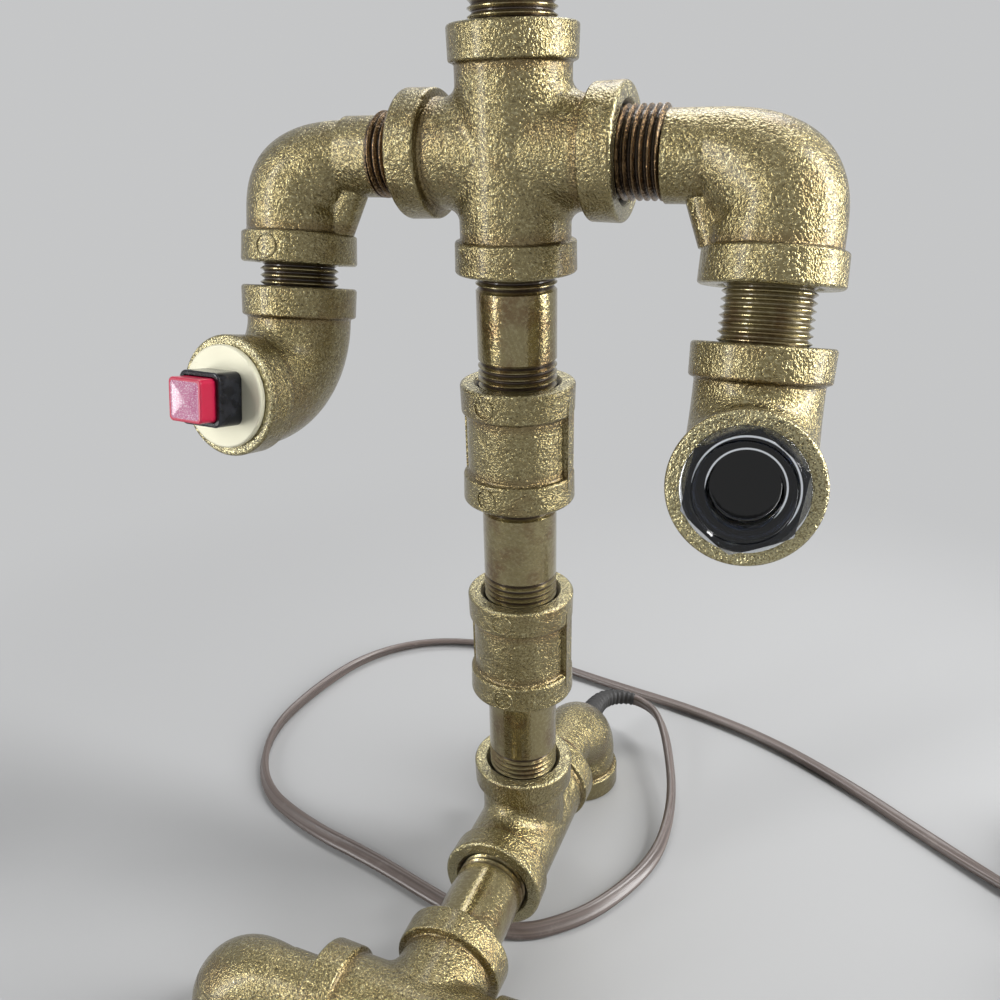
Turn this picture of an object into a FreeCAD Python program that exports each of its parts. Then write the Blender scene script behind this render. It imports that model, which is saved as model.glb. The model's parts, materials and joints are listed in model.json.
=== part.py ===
import FreeCAD, Part
import math
import os

# Industrial pipe table lamp: a figure screwed together from half-inch pipe
# fittings, with a lamp for its head, a push switch in its left hand and a
# clear plug in its right hand. Millimetres, +Z up, the figure faces -Y.
# The solids are drawn about the column's axis at floor level and are moved
# at the end, so that the origin is the bottom centre of the lamp's own box.

V = FreeCAD.Vector
X, Y, Z = V(1, 0, 0), V(0, 1, 0), V(0, 0, 1)
ORIGIN = V(0, 0, 0)

# ---------------------------------------------------------------- sizes
# Half-inch pipe and its thread.
PIPE_OD = 21.34
PIPE_WALL = 2.77
THREAD_PITCH = 1.814
THREAD_HEIGHT = 1.1
THREAD_FLAT = 0.22
THREAD_LENGTH = 15.5
THREAD_GAP = 0.03
CHEST_TOP_THREAD = 17.0

# Half-inch banded malleable fittings. The reach, from the centre to the
# mouth, is body, crotch, shoulder and band in a row.
BODY_WALL = 3.5
BRANCH_WALL = 2.6
BAND_RISE = 1.6
BAND_DRAFT = 0.2
BAND_HEIGHT = 8.0
BAND_SHOULDER = 1.3
CROTCH_FILLET = 4.0
CROTCH_ROOM = 1.0
BEND_CLEARANCE = 1.8
WATERWAY_ROOM = 0.6
MOUTH_CHAMFER = 1.4
MOUTH_ROUND = 0.9
BORE_END_ROOM = 0.9

# The heavier castings of the right arm.
BULKY_BODY_WALL = 4.15
BULKY_NECK_WALL = 3.2
BULKY_NECK_DROP = 0.9
BULKY_EXTRA = 0.7

# Street elbows: the male leg ends short of the reach, then its thread. Their
# bend swells from a slim neck, and a web fills its inner corner.
STREET_SHORT = 2.5
STREET_THREAD = 15.4
THREAD_END = 0.3
STREET_WATERWAY_D = 14.4
NECK_WALL = 2.4
NECK_DROP = 1.0
FOOT_NECK_DROP = 0.7
BEND_STATIONS = 8
BEND_SQUARENESS = 2.5
WEB_WIDTH = 9.0
WEB_ROUND = 4.0
WEB_FOOT = 0.6
WEB_RISE = 6.6
WEB_TOP = 6.0

# Couplings.
COUPLING_LENGTH = 34.0
COUPLING_RIB_WIDTH = 4.0
COUPLING_RIB_SUNK = 0.15
UPPER_RIB_TURN = -3.0
LOWER_RIB_TURN = -3.0

# Nipples, and how deep each end is screwed in.
COLUMN_NIPPLE = 50.8
LOWER_GRIP = 9.0
HIP_UPPER_GRIP = 13.6
WAIST_UPPER_GRIP = 11.6
CHEST_UPPER_GRIP = 12.9
LEG_NIPPLE = 50.8
LEG_GRIP = 13.05
NECK_NIPPLE = 38.1
NECK_GRIP = 10.5

# Wrists: the gap between the two mouths, and the grip in each.
LEFT_WRIST_GAP = 6.1
LEFT_WRIST_GRIP = 11.25
RIGHT_WRIST_GAP = 12.7
RIGHT_WRIST_GRIP = 11.5

# Length of a street elbow's thread that stays outside.
REAR_SHOWN = 6.5
FOOT_SHOWN = 2.0
LEFT_SHOULDER_SHOWN = 8.0
RIGHT_SHOULDER_SHOWN = 9.9

# How the arms hang.
LEFT_SWING = 11.0
RIGHT_SWING = 13.2
LEFT_YAW = -6.0
RIGHT_YAW = 5.2

# Push switch in the left hand.
PLATE_OD = 26.6
PLATE_THICKNESS = 1.8
PLATE_ROUND = 0.5
SPIGOT_LENGTH = 8.0
HOUSING_WALL = 1.1
HOUSING_HEIGHT = 7.6
HOUSING_CORNER = 2.2
HOUSING_RIM_ROUND = 0.5
BARREL_WALL = 1.2
BARREL_LENGTH = 17.0
BUTTON_WIDTH = 11.0
BUTTON_CORNER = 1.3
BUTTON_BRIM_ROUND = 0.5
BUTTON_PROUD = 4.8
BUTTON_TRAVEL = 2.5
BUTTON_PLAY = 0.3
BUTTON_SKIRT = 3.4
LENS_THICKNESS = 1.0
LENS_MARGIN = 0.8
LENS_CORNER = 0.8
STEM_D = 3.4
STEM_PLAY = 0.08
SPRING_WIRE = 0.6
SPRING_OD = 7.2
SPRING_TURNS = 6
SPRING_PLAY = 0.5
WELL_FLOOR = 1.5
CONTACT_CHAMBER_D = 9.6
CHAMBER_ROOM = 2.0
CONTACT_GAP = 0.15
BRIDGE_THICKNESS = 0.6
BRIDGE_WIDTH = 3.2
BRIDGE_PLAY = 0.8
SWITCH_BASE_THICKNESS = 1.6
TERMINAL_WIDTH = 2.4
TERMINAL_THICKNESS = 0.8
TERMINAL_SPREAD = 5.6
TERMINAL_TAIL = 4.5
TERMINAL_RISE = 0.8
NUT_WALL = 2.0
NUT_HEIGHT = 2.6
NUT_ROUND = 0.4

# Clear plug in the right hand.
SIGHT_FLANGE_OD = 26.4
SIGHT_FLANGE_THICKNESS = 1.6
SIGHT_FLANGE_ROUND = 0.4
SIGHT_HEX_FLATS = 22.8
SIGHT_HEX_HEIGHT = 4.6
SIGHT_HEX_TURN = 23.0
SIGHT_HEX_CHAMFER = 1.5
SIGHT_SHANK_LENGTH = 11.0
SIGHT_RECESS_D = 15.4
SIGHT_RECESS_DEPTH = 9.5
SIGHT_RECESS_ROUND = 0.8
SIGHT_RECESS_CHAMFER = 0.3
SIGHT_STEP_D = 20.8
SIGHT_STEP_DEPTH = 1.4
SIGHT_STEP_ROUND = 0.4

# Screw cap of the bulb.
CAP_CREST_OD = 26.1
CAP_HEIGHT = 23.0
CAP_PITCH = 3.6
CAP_THREAD_HEIGHT = 0.9
CAP_THREAD_FOOT = 1.5
CAP_COLLAR = 3.5
CAP_TIP_D = 9.5
CAP_INSULATOR = 4.0
CAP_SHOULDER = 2.0
CAP_WALL = 0.5

# Lampholder around the screw cap, and the cup of the reducer around that.
SHELL_PLAY = 0.65
SHELL_WALL = 0.5
SHELL_BELOW_RIM = 1.0
HOLDER_SEAT_WALL = 2.4
HOLDER_WALL = 1.6
HOLDER_FLOOR = 4.0
HOLDER_PROUD = 22.0
HOLDER_RIM = 1.4
HOLDER_RIM_HEIGHT = 5.0
HOLDER_RIM_SLOPE = 1.5
HOLDER_ROUND = 0.7
CONTACT_STRIP_WIDTH = 6.0
CONTACT_STRIP_THICKNESS = 0.6
CONTACT_BUTTON_D = 4.0
CONTACT_RISE = 2.4
HOLDER_GAP = 0.1
REDUCER_BORE_DEPTH = 17.0
REDUCER_WEB = 11.5
REDUCER_WALL = 2.6
REDUCER_BAND_RISE = 2.2
REDUCER_BAND_HEIGHT = 9.5
REDUCER_SKIRT = 9.0
REDUCER_FLARE_ROUND = 6.0

# Glass of the bulb, its inner stem and its zigzag filament.
BULB_OD = 58.0
BULB_SINK = 4.0
BULB_NECK = 10.0
BULB_WIDEST = 56.0
BULB_DOME = 40.0
BULB_NECK_GAP = 0.1
BULB_WALL = 0.8
STEM_FLARE_OD = 14.4
STEM_FLARE_HEIGHT = 6.0
STEM_FLARE_ROUND = 3.0
STEM_TUBE_OD = 8.0
STEM_TUBE_LENGTH = 38.0
STEM_ROD_OD = 4.0
CAGE_D = 17.0
CAGE_FOOT = 16.6
CAGE_HEIGHT = 42.0
CAGE_LEG_COUNT = 12
CAGE_SPOKE_COUNT = 3
SUPPORT_RISE = 3.0
SUPPORT_R = 5.1
FILAMENT_D = 0.7

# Supply cord and inner leads.
CORD_D = 4.2
CORD_GAP = 0.05
LEAD_D = 3.4
LEAD_GAP = 0.7
LEAD_INTO_HOLDER = 2.0
LEAD_BEND = 12.0
LEAD_TURN = 8.0
GROMMET_D = 8.4
GROMMET_DEPTH = 5.5
GROMMET_LIP_OD = 11.0
GROMMET_LIP = 1.6
GROMMET_LIP_BACK = 3.0
GROMMET_ROUND = 0.4
EXIT_RISE = 19.0
CORD_LENGTH = 1800.0
COIL_D = 62.0
COIL_WIDTH = 18.0
COIL_HEIGHT = 11.5
COIL_CENTRE = (205.0, 70.0)
COIL_LOWER_ROUND = 2.0
COIL_UPPER_ROUND = 3.5
PLUG_LENGTH = 27.0
PLUG_WIDTH = 22.0
PLUG_HEIGHT = 13.0
PLUG_ROUND = 2.0
PLUG_INTO_COIL = 1.0
PLUG_ASIDE = 22.0
PLUG_NECK = 13.0
PLUG_TAPER = 10.0
BLADE_LENGTH = 17.5
BLADE_ROOT = 6.0
BLADE_WIDTH = 6.4
BLADE_THICKNESS = 1.5
BLADE_SPREAD = 12.7

# The free cord's route after the grommet, chosen by hand, column's axis at
# zero, cord's centreline.
CORD_REST = CORD_D / 2 + CORD_GAP
CORD_ROUTE = [
    (0.0, 86.5, EXIT_RISE),
    (6.0, 94.4, 18.3),
    (15.7, 96.8, 17.0),
    (24.8, 92.8, 15.5),
    (30.6, 82.6, 13.7),
    (35.2, 70.5, 11.2),
    (39.4, 57.0, 8.2),
    (41.2, 43.0, 4.9),
    (40.5, 27.0, 2.7),
    (34.0, 9.0, CORD_REST),
    (22.5, -9.5, CORD_REST),
    (3.0, -24.0, CORD_REST),
    (-23.0, -18.8, CORD_REST),
    (-54.0, -10.8, CORD_REST),
    (-87.0, -5.5, CORD_REST),
    (-117.0, 6.5, CORD_REST),
    (-134.5, 37.0, CORD_REST),
    (-133.0, 72.0, CORD_REST),
    (-124.0, 106.0, CORD_REST),
    (-100.0, 130.0, CORD_REST),
    (-64.0, 139.0, CORD_REST),
    (-31.0, 130.0, CORD_REST),
    (2.0, 124.0, CORD_REST),
    (38.0, 118.5, CORD_REST),
    (72.0, 108.5, CORD_REST),
    (103.0, 92.0, CORD_REST),
    (130.0, 73.5, CORD_REST),
    (155.0, 57.0, CORD_REST),
    (174.0, 46.0, CORD_REST),
]

# ------------------------------------------------- sizes worked out above
PIPE_R = PIPE_OD / 2
PIPE_ID = PIPE_OD - 2 * PIPE_WALL
ROOT_R = PIPE_R - THREAD_HEIGHT
BORE_R = PIPE_R + THREAD_GAP
BODY_OD = 2 * (BORE_R + BODY_WALL)
BRANCH_OD = 2 * (BORE_R + BRANCH_WALL)
BULKY_BODY_OD = 2 * (BORE_R + BULKY_BODY_WALL)
NECK_OD = STREET_WATERWAY_D + 2 * NECK_WALL
BULKY_NECK_OD = STREET_WATERWAY_D + 2 * BULKY_NECK_WALL
BAND_OD = BODY_OD + 2 * BAND_RISE
BULKY_BAND_OD = BULKY_BODY_OD + 2 * BAND_RISE
WATERWAY_D = PIPE_ID + 2 * WATERWAY_ROOM
REACH = BODY_OD / 2 + CROTCH_FILLET + CROTCH_ROOM + BAND_SHOULDER + BAND_HEIGHT
BULKY_REACH = REACH + BULKY_EXTRA
STREET_BODY_REACH = REACH - STREET_SHORT
STREET_REACH = STREET_BODY_REACH + STREET_THREAD

REAR_GRIP = STREET_THREAD - REAR_SHOWN
FOOT_GRIP = STREET_THREAD - FOOT_SHOWN
LEFT_SHOULDER_GRIP = STREET_THREAD - LEFT_SHOULDER_SHOWN
RIGHT_SHOULDER_GRIP = STREET_THREAD - RIGHT_SHOULDER_SHOWN
GRIPS = [
    LOWER_GRIP, HIP_UPPER_GRIP, WAIST_UPPER_GRIP, CHEST_UPPER_GRIP, LEG_GRIP, NECK_GRIP,
    LEFT_WRIST_GRIP, RIGHT_WRIST_GRIP, REAR_GRIP, FOOT_GRIP, LEFT_SHOULDER_GRIP,
    RIGHT_SHOULDER_GRIP,
]
BORE_DEPTH = max(GRIPS) + BORE_END_ROOM
LEFT_WRIST_NIPPLE = LEFT_WRIST_GAP + 2 * LEFT_WRIST_GRIP
RIGHT_WRIST_NIPPLE = RIGHT_WRIST_GAP + 2 * RIGHT_WRIST_GRIP

BARREL_OD = CONTACT_CHAMBER_D + 2 * BARREL_WALL
SPRING_WELL_D = SPRING_OD + 2 * SPRING_PLAY
POCKET_WIDTH = BUTTON_WIDTH + 2 * BUTTON_PLAY
HOUSING_WIDTH = POCKET_WIDTH + 2 * HOUSING_WALL
NUT_OD = BARREL_OD + 2 * NUT_WALL

SHELL_OD = CAP_CREST_OD + 2 * (SHELL_PLAY + SHELL_WALL)
HOLDER_OD = SHELL_OD + 2 * HOLDER_SEAT_WALL
REDUCER_BORE_D = HOLDER_OD + 2 * HOLDER_GAP
REDUCER_BODY_OD = REDUCER_BORE_D + 2 * REDUCER_WALL
REDUCER_BAND_OD = REDUCER_BODY_OD + 2 * REDUCER_BAND_RISE
REDUCER_LENGTH = BORE_DEPTH + REDUCER_WEB + REDUCER_BORE_DEPTH
LEAD_OFFSET = LEAD_D / 2 + LEAD_GAP

TEE_Z = REACH
LOWER_COUPLING_Z = TEE_Z + REACH + COLUMN_NIPPLE - LOWER_GRIP - HIP_UPPER_GRIP
WAIST_Z = LOWER_COUPLING_Z + COUPLING_LENGTH
UPPER_COUPLING_Z = WAIST_Z + COLUMN_NIPPLE - LOWER_GRIP - WAIST_UPPER_GRIP
CHEST_Z = UPPER_COUPLING_Z + COUPLING_LENGTH
CROSS_Z = CHEST_Z + COLUMN_NIPPLE - LOWER_GRIP - CHEST_UPPER_GRIP + REACH
REDUCER_Z = CROSS_Z + REACH + NECK_NIPPLE - 2 * NECK_GRIP
REDUCER_TOP = REDUCER_Z + REDUCER_LENGTH
HOLDER_BOTTOM = REDUCER_TOP - REDUCER_BORE_DEPTH

FRONT_TEE_Y = -(2 * REACH + LEG_NIPPLE - 2 * LEG_GRIP)
FOOT_X = REACH + STREET_REACH - FOOT_GRIP
REAR_Y = REACH + STREET_REACH - REAR_GRIP
LEFT_SHOULDER_X = -(REACH + STREET_REACH - LEFT_SHOULDER_GRIP)
RIGHT_SHOULDER_X = REACH + STREET_REACH - RIGHT_SHOULDER_GRIP
LEFT_HAND_DROP = 2 * REACH + LEFT_WRIST_GAP
RIGHT_HAND_DROP = 2 * BULKY_REACH + RIGHT_WRIST_GAP


# ---------------------------------------------------------------- helpers
def aimed(shape, origin, direction):
    """Turn a shape drawn along +Z to a direction and move it to a point."""
    placed = shape.copy()
    placed.Placement = FreeCAD.Placement(origin, FreeCAD.Rotation(Z, direction))
    return placed


def rod(radius, start, direction, length):
    return Part.makeCylinder(radius, length, start, direction)


def link(radius, start, end):
    return rod(radius, start, end - start, (end - start).Length)


def turned(shape, axis, degrees):
    shape.rotate(ORIGIN, axis, degrees)
    return shape


def moved(shape, x, y, z):
    shape.translate(V(x, y, z))
    return shape


def rounded_wire(corners):
    """Closed wire in the XZ plane through (station, radius, fillet) corners."""
    points = [V(r, 0, s) for s, r, _ in corners]
    cuts = []
    for i, (_, _, fillet) in enumerate(corners):
        here, before, after = points[i], points[i - 1], points[(i + 1) % len(points)]
        if not fillet:
            cuts.append((here, None, here))
            continue
        to_before = (before - here).normalize()
        to_after = (after - here).normalize()
        half = to_before.getAngle(to_after) / 2
        back = fillet / math.tan(half)
        centre = here + (to_before + to_after).normalize() * (fillet / math.sin(half))
        middle = centre + (here - centre).normalize() * fillet
        cuts.append((here + to_before * back, middle, here + to_after * back))
    edges = []
    for i, (_, middle, leave) in enumerate(cuts):
        if middle is not None:
            edges.append(Part.Arc(cuts[i][0], middle, leave).toShape())
        next_entry = cuts[(i + 1) % len(cuts)][0]
        if (next_entry - leave).Length > 1e-6:
            edges.append(Part.makeLine(leave, next_entry))
    return Part.Wire(edges)


def lathe(corners, origin=ORIGIN, direction=Z):
    """Solid of revolution from (station, radius, fillet) corners."""
    face = Part.Face(rounded_wire(corners))
    return aimed(face.revolve(ORIGIN, Z, 360), origin, direction)


def thread(start, end, crest, height=THREAD_HEIGHT, pitch=THREAD_PITCH):
    """Outline of the ridges of a thread between two stations."""
    outline = []
    for i in range(max(1, int((end - start) / pitch))):
        base = start + i * pitch
        outline += [
            (base + THREAD_FLAT / 2, crest - height, 0),
            (base + (pitch - THREAD_FLAT) / 2, crest, 0),
            (base + (pitch + THREAD_FLAT) / 2, crest, 0),
            (base + pitch - THREAD_FLAT / 2, crest - height, 0),
        ]
    return outline


def first_solid(shape):
    return max(shape.Solids, key=lambda solid: solid.Volume)


def joined(shapes):
    return first_solid(shapes[0].multiFuse(shapes[1:]).removeSplitter())


def rounded_box(width, height, corner, floor):
    """Square upright box on a floor height, with round vertical edges."""
    box = Part.makeBox(width, width, height, V(-width / 2, -width / 2, floor))
    return box.makeFillet(corner, [e for e in box.Edges if abs(e.tangentAt(e.FirstParameter).z) > 0.9])


def soft_top(box, top, radius):
    return box.makeFillet(radius, [e for e in box.Edges if e.BoundBox.ZMin > top - 0.01])


# --------------------------------------------------------- pipe and fittings
def nipple(length, top_thread=THREAD_LENGTH):
    """Pipe threaded at both ends, from the floor of its own frame upwards."""
    low = thread(0, THREAD_LENGTH, PIPE_R)
    high = [(length - station, r, fillet) for station, r, fillet in reversed(thread(0, top_thread, PIPE_R))]
    foot = [(0, PIPE_ID / 2, 0), (0, ROOT_R, 0)]
    plain = [(low[-1][0] + THREAD_HEIGHT, PIPE_R, 0), (high[0][0] - THREAD_HEIGHT, PIPE_R, 0)]
    top = [(length, ROOT_R, 0), (length, PIPE_ID / 2, 0)]
    return lathe(foot + low + plain + high + top)


def close_nipple(length):
    """Short pipe threaded from end to end, standing on its own frame's floor."""
    foot = [(0, PIPE_ID / 2, 0), (0, ROOT_R, 0)]
    top = [(length, ROOT_R, 0), (length, PIPE_ID / 2, 0)]
    return lathe(foot + thread(THREAD_END, length - THREAD_END, PIPE_R) + top)


def female_end(direction, start, reach, body_od, band_od):
    """Outside of a fitting's leg, from a start station to its banded mouth."""
    shoulder = reach - BAND_HEIGHT
    corners = [
        (start, 0, 0),
        (start, body_od / 2, 0),
        (shoulder - BAND_SHOULDER * 0.4, body_od / 2, BAND_SHOULDER * 0.5),
        (shoulder, band_od / 2 - BAND_DRAFT, BAND_SHOULDER * 0.6),
        (reach, band_od / 2, MOUTH_ROUND),
        (reach, 0, 0),
    ]
    return lathe(corners, ORIGIN, direction)


def tapped_hole(direction, reach):
    """What is cut out of a leg: the tapped bore with its chamfered mouth."""
    corners = [
        (reach - BORE_DEPTH, 0, 0),
        (reach - BORE_DEPTH, BORE_R, 0),
        (reach - MOUTH_CHAMFER, BORE_R, 0),
        (reach, BORE_R + MOUTH_CHAMFER, 0),
        (reach + 1, BORE_R + MOUTH_CHAMFER, 0),
        (reach + 1, 0, 0),
    ]
    return lathe(corners, ORIGIN, direction)


def bend(radius, tube_r):
    """Quarter bend of a tube from the +X leg to the -Z leg of an elbow."""
    ring = Part.Wire(Part.makeCircle(tube_r, V(radius, 0, 0), X))
    return Part.Face(ring).revolve(V(radius, 0, -radius), Y, -90)


def elbow(reach=REACH, body_od=BODY_OD, band_od=BAND_OD):
    """Elbow with one mouth along +X and one along -Z."""
    radius = reach - BAND_HEIGHT - BAND_SHOULDER
    outside = joined([
        bend(radius, body_od / 2),
        female_end(X, radius, reach, body_od, band_od),
        female_end(-Z, radius, reach, body_od, band_od),
    ])
    water = WATERWAY_D / 2
    inside = [
        bend(radius, water),
        rod(water, V(radius, 0, 0), X, reach),
        rod(water, V(0, 0, -radius), -Z, reach),
        tapped_hole(X, reach),
        tapped_hole(-Z, reach),
    ]
    return first_solid(outside.cut(inside))


def swelling_bend(radius, neck_r, neck_drop, body_r):
    """Quarter bend that swells from its neck along +X to its leg along -Z."""
    centres, rings = [], []
    for i in range(BEND_STATIONS + 1):
        angle = math.pi / 2 * i / BEND_STATIONS
        ahead, aside = math.cos(angle), math.sin(angle)
        across = (ahead / (radius + neck_r - neck_drop)) ** BEND_SQUARENESS
        down = (aside / (radius + body_r)) ** BEND_SQUARENESS
        ring_r = neck_r + (body_r - neck_r) * aside
        out = (across + down) ** (-1 / BEND_SQUARENESS) - ring_r
        centres.append(V(radius - out * aside, 0, out * ahead - radius))
        ring = Part.Wire(Part.makeCircle(ring_r, V(0, 0, out), X))
        rings.append(moved(turned(ring, Y, -math.degrees(angle)), radius, 0, -radius))
    spine = Part.BSplineCurve()
    spine.interpolate(centres)
    return Part.Wire(spine.toShape()).makePipeShell(rings, True, False)


def corner_web(reach, band_r):
    """Web in a street elbow's inner corner, from the neck down to the band."""
    foot = BAND_HEIGHT - reach
    outline = [
        V(0, 0, foot),
        V(band_r + WEB_FOOT, 0, foot),
        V(band_r + WEB_RISE, 0, -WEB_TOP),
        V(0, 0, -WEB_TOP),
        V(0, 0, foot),
    ]
    web = Part.Face(Part.makePolygon(outline)).extrude(V(0, WEB_WIDTH, 0))
    sloping = [e for e in web.Edges if e.BoundBox.XMin > 1 and e.BoundBox.ZLength > 1]
    return moved(web.makeFillet(WEB_ROUND, sloping), 0, -WEB_WIDTH / 2, 0)


def street_elbow(reach, body_od, band_od, neck_od, neck_drop):
    """Elbow with a male thread along +X and a mouth along -Z."""
    radius = body_od / 2 + BEND_CLEARANCE
    male = [(radius, 0, 0), (radius, ROOT_R, 0)]
    male += thread(STREET_BODY_REACH, STREET_REACH - THREAD_END, PIPE_R)
    male += [(STREET_REACH, ROOT_R, 0), (STREET_REACH, 0, 0)]
    outside = joined([
        swelling_bend(radius, neck_od / 2, neck_drop, body_od / 2),
        rod(neck_od / 2, V(radius, 0, -neck_drop), X, STREET_BODY_REACH - radius),
        lathe(male, ORIGIN, X),
        female_end(-Z, radius, reach, body_od, band_od),
        corner_web(reach, band_od / 2),
    ])
    water = STREET_WATERWAY_D / 2
    inside = [
        bend(radius, water),
        rod(water, V(radius, 0, 0), X, STREET_REACH),
        rod(water, V(0, 0, -radius), -Z, reach),
        tapped_hole(-Z, reach),
    ]
    return first_solid(outside.cut(inside))


def plain_street_elbow(neck_drop):
    return street_elbow(REACH, BODY_OD, BAND_OD, NECK_OD, neck_drop)


def bulky_street_elbow():
    return street_elbow(BULKY_REACH, BULKY_BODY_OD, BULKY_BAND_OD, BULKY_NECK_OD, BULKY_NECK_DROP)


def crossing(run_ends, branch_ends):
    """Tee or cross: a straight run with thinner branches, crotches filleted."""
    stub = REACH - BAND_HEIGHT - BAND_SHOULDER
    run = rod(BODY_OD / 2, run_ends[0] * -stub, run_ends[0], 2 * stub)
    body = joined([run] + [rod(BRANCH_OD / 2, ORIGIN, end, stub) for end in branch_ends])
    crotches = [e for e in body.Edges if e.Curve.TypeId not in ("Part::GeomCircle", "Part::GeomLine")]
    body = body.makeFillet(CROTCH_FILLET, crotches)
    ends = [female_end(end, stub, REACH, BODY_OD, BAND_OD) for end in run_ends]
    ends += [female_end(end, stub, REACH, BRANCH_OD, BAND_OD) for end in branch_ends]
    inside = [rod(WATERWAY_D / 2, ORIGIN, end, REACH) for end in run_ends + branch_ends]
    inside += [tapped_hole(end, REACH) for end in run_ends + branch_ends]
    return first_solid(joined([body] + ends).cut(inside))


def coupling(rib_turn):
    """Straight coupling with two upright ribs, standing on its lower mouth."""
    half = COUPLING_LENGTH / 2
    rib_span = BAND_OD - 2 * COUPLING_RIB_SUNK
    rib_height = COUPLING_LENGTH - BAND_HEIGHT
    rib = Part.makeBox(rib_span, COUPLING_RIB_WIDTH, rib_height)
    rib = turned(moved(rib, -rib_span / 2, -COUPLING_RIB_WIDTH / 2, -rib_height / 2), Z, rib_turn)
    outside = [female_end(end, 0, half, BODY_OD, BAND_OD) for end in (Z, -Z)]
    inside = [tapped_hole(end, half) for end in (Z, -Z)]
    inside += [rod(WATERWAY_D / 2, V(0, 0, -half), Z, COUPLING_LENGTH)]
    return moved(first_solid(joined(outside + [rib]).cut(inside)), 0, 0, half)


# ---------------------------------------------------------------- placing
def standing(shape, height):
    return moved(shape, 0, 0, height)


def in_left_arm(shape):
    """From the left arm's own frame, hanging straight at its shoulder."""
    return moved(turned(shape, X, -LEFT_SWING), LEFT_SHOULDER_X, 0, CROSS_Z)


def in_right_arm(shape):
    """From the right arm's own frame, hanging straight at its shoulder."""
    return moved(turned(shape, X, -RIGHT_SWING), RIGHT_SHOULDER_X, 0, CROSS_Z)


def in_left_hand(shape):
    """From the left hand's frame: its mouth along +Z, its wrist along +Y."""
    return in_left_arm(moved(turned(turned(shape, X, 90), Z, LEFT_YAW), 0, 0, -LEFT_HAND_DROP))


def in_right_hand(shape):
    """From the right hand's frame: its mouth along +Z, its wrist along +Y."""
    return in_right_arm(moved(turned(turned(shape, X, 90), Z, RIGHT_YAW), 0, 0, -RIGHT_HAND_DROP))


# ---------------------------------------------------------------- leads
def tangent_path(points):
    """Straight runs joined by arcs as large as the shorter run allows."""
    points = [V(*p) for p in points]
    edges, radii, here = [], [], points[0]
    for before, corner, after in zip(points, points[1:], points[2:]):
        back = (before - corner).normalize()
        ahead = (after - corner).normalize()
        half_turn = (math.pi - back.getAngle(ahead)) / 2
        reach = 0.45 * min((before - corner).Length, (after - corner).Length)
        radius = reach / math.tan(half_turn)
        radii.append(radius)
        entry, leave = corner + back * reach, corner + ahead * reach
        centre = corner + (back + ahead).normalize() * math.hypot(radius, reach)
        middle = centre + (corner - centre).normalize() * radius
        edges += [Part.makeLine(here, entry), Part.Arc(entry, middle, leave).toShape()]
        here = leave
    edges.append(Part.makeLine(here, points[-1]))
    return Part.Wire(edges), radii


def tube(points, diameter):
    """Round cord along a tangent path; returns the solid, length and radii."""
    path, radii = tangent_path(points)
    ring = Part.Wire(Part.makeCircle(diameter / 2, V(*points[0]), V(*points[1]) - V(*points[0])))
    solid = first_solid(path.makePipeShell([ring], True, False))
    return solid, path.Length, radii


# ---------------------------------------------------------------- figure
def build_pipework():
    """Tees, cross, couplings and nipples of the column and its two tees' leg."""
    tee = crossing([X, -X], [Z])
    leg = turned(nipple(LEG_NIPPLE), X, 90)
    return {
        "base_tee": standing(turned(tee.copy(), Z, 90), TEE_Z),
        "front_tee": moved(turned(tee.copy(), X, -90), 0, FRONT_TEE_Y, TEE_Z),
        "leg_nipple": moved(leg, 0, LEG_GRIP - REACH, TEE_Z),
        "chest_cross": standing(crossing([Z, -Z], [X, -X]), CROSS_Z),
        "lower_coupling": standing(coupling(LOWER_RIB_TURN), LOWER_COUPLING_Z),
        "upper_coupling": standing(coupling(UPPER_RIB_TURN), UPPER_COUPLING_Z),
        "hip_nipple": standing(nipple(COLUMN_NIPPLE), TEE_Z + REACH - LOWER_GRIP),
        "waist_nipple": standing(nipple(COLUMN_NIPPLE), WAIST_Z - LOWER_GRIP),
        "chest_nipple": standing(nipple(COLUMN_NIPPLE, CHEST_TOP_THREAD), CHEST_Z - LOWER_GRIP),
        "neck_nipple": standing(nipple(NECK_NIPPLE), CROSS_Z + REACH - NECK_GRIP),
    }


def build_feet():
    """Three street elbows that stand on their open mouths."""
    foot = plain_street_elbow(FOOT_NECK_DROP)
    return {
        "left_foot_elbow": moved(foot.copy(), -FOOT_X, FRONT_TEE_Y, TEE_Z),
        "right_foot_elbow": moved(turned(foot.copy(), Z, 180), FOOT_X, FRONT_TEE_Y, TEE_Z),
        "rear_foot_elbow": moved(turned(foot.copy(), Z, -90), 0, REAR_Y, TEE_Z),
    }


def build_arms():
    """Each arm: a street elbow at the shoulder, a nipple and the hand's elbow."""
    left_wrist = standing(close_nipple(LEFT_WRIST_NIPPLE), -REACH - LEFT_WRIST_GAP - LEFT_WRIST_GRIP)
    right_wrist = close_nipple(RIGHT_WRIST_NIPPLE)
    right_wrist = standing(right_wrist, -BULKY_REACH - RIGHT_WRIST_GAP - RIGHT_WRIST_GRIP)
    left_hand = turned(turned(elbow(), Z, -90), X, 180)
    right_hand = turned(turned(elbow(BULKY_REACH, BULKY_BODY_OD, BULKY_BAND_OD), Z, -90), X, 180)
    return {
        "left_shoulder_elbow": in_left_arm(plain_street_elbow(NECK_DROP)),
        "left_wrist_nipple": in_left_arm(left_wrist),
        "left_hand_elbow": in_left_hand(left_hand),
        "right_shoulder_elbow": in_right_arm(turned(bulky_street_elbow(), Z, 180)),
        "right_wrist_nipple": in_right_arm(right_wrist),
        "right_hand_elbow": in_right_hand(right_hand),
    }


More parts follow.
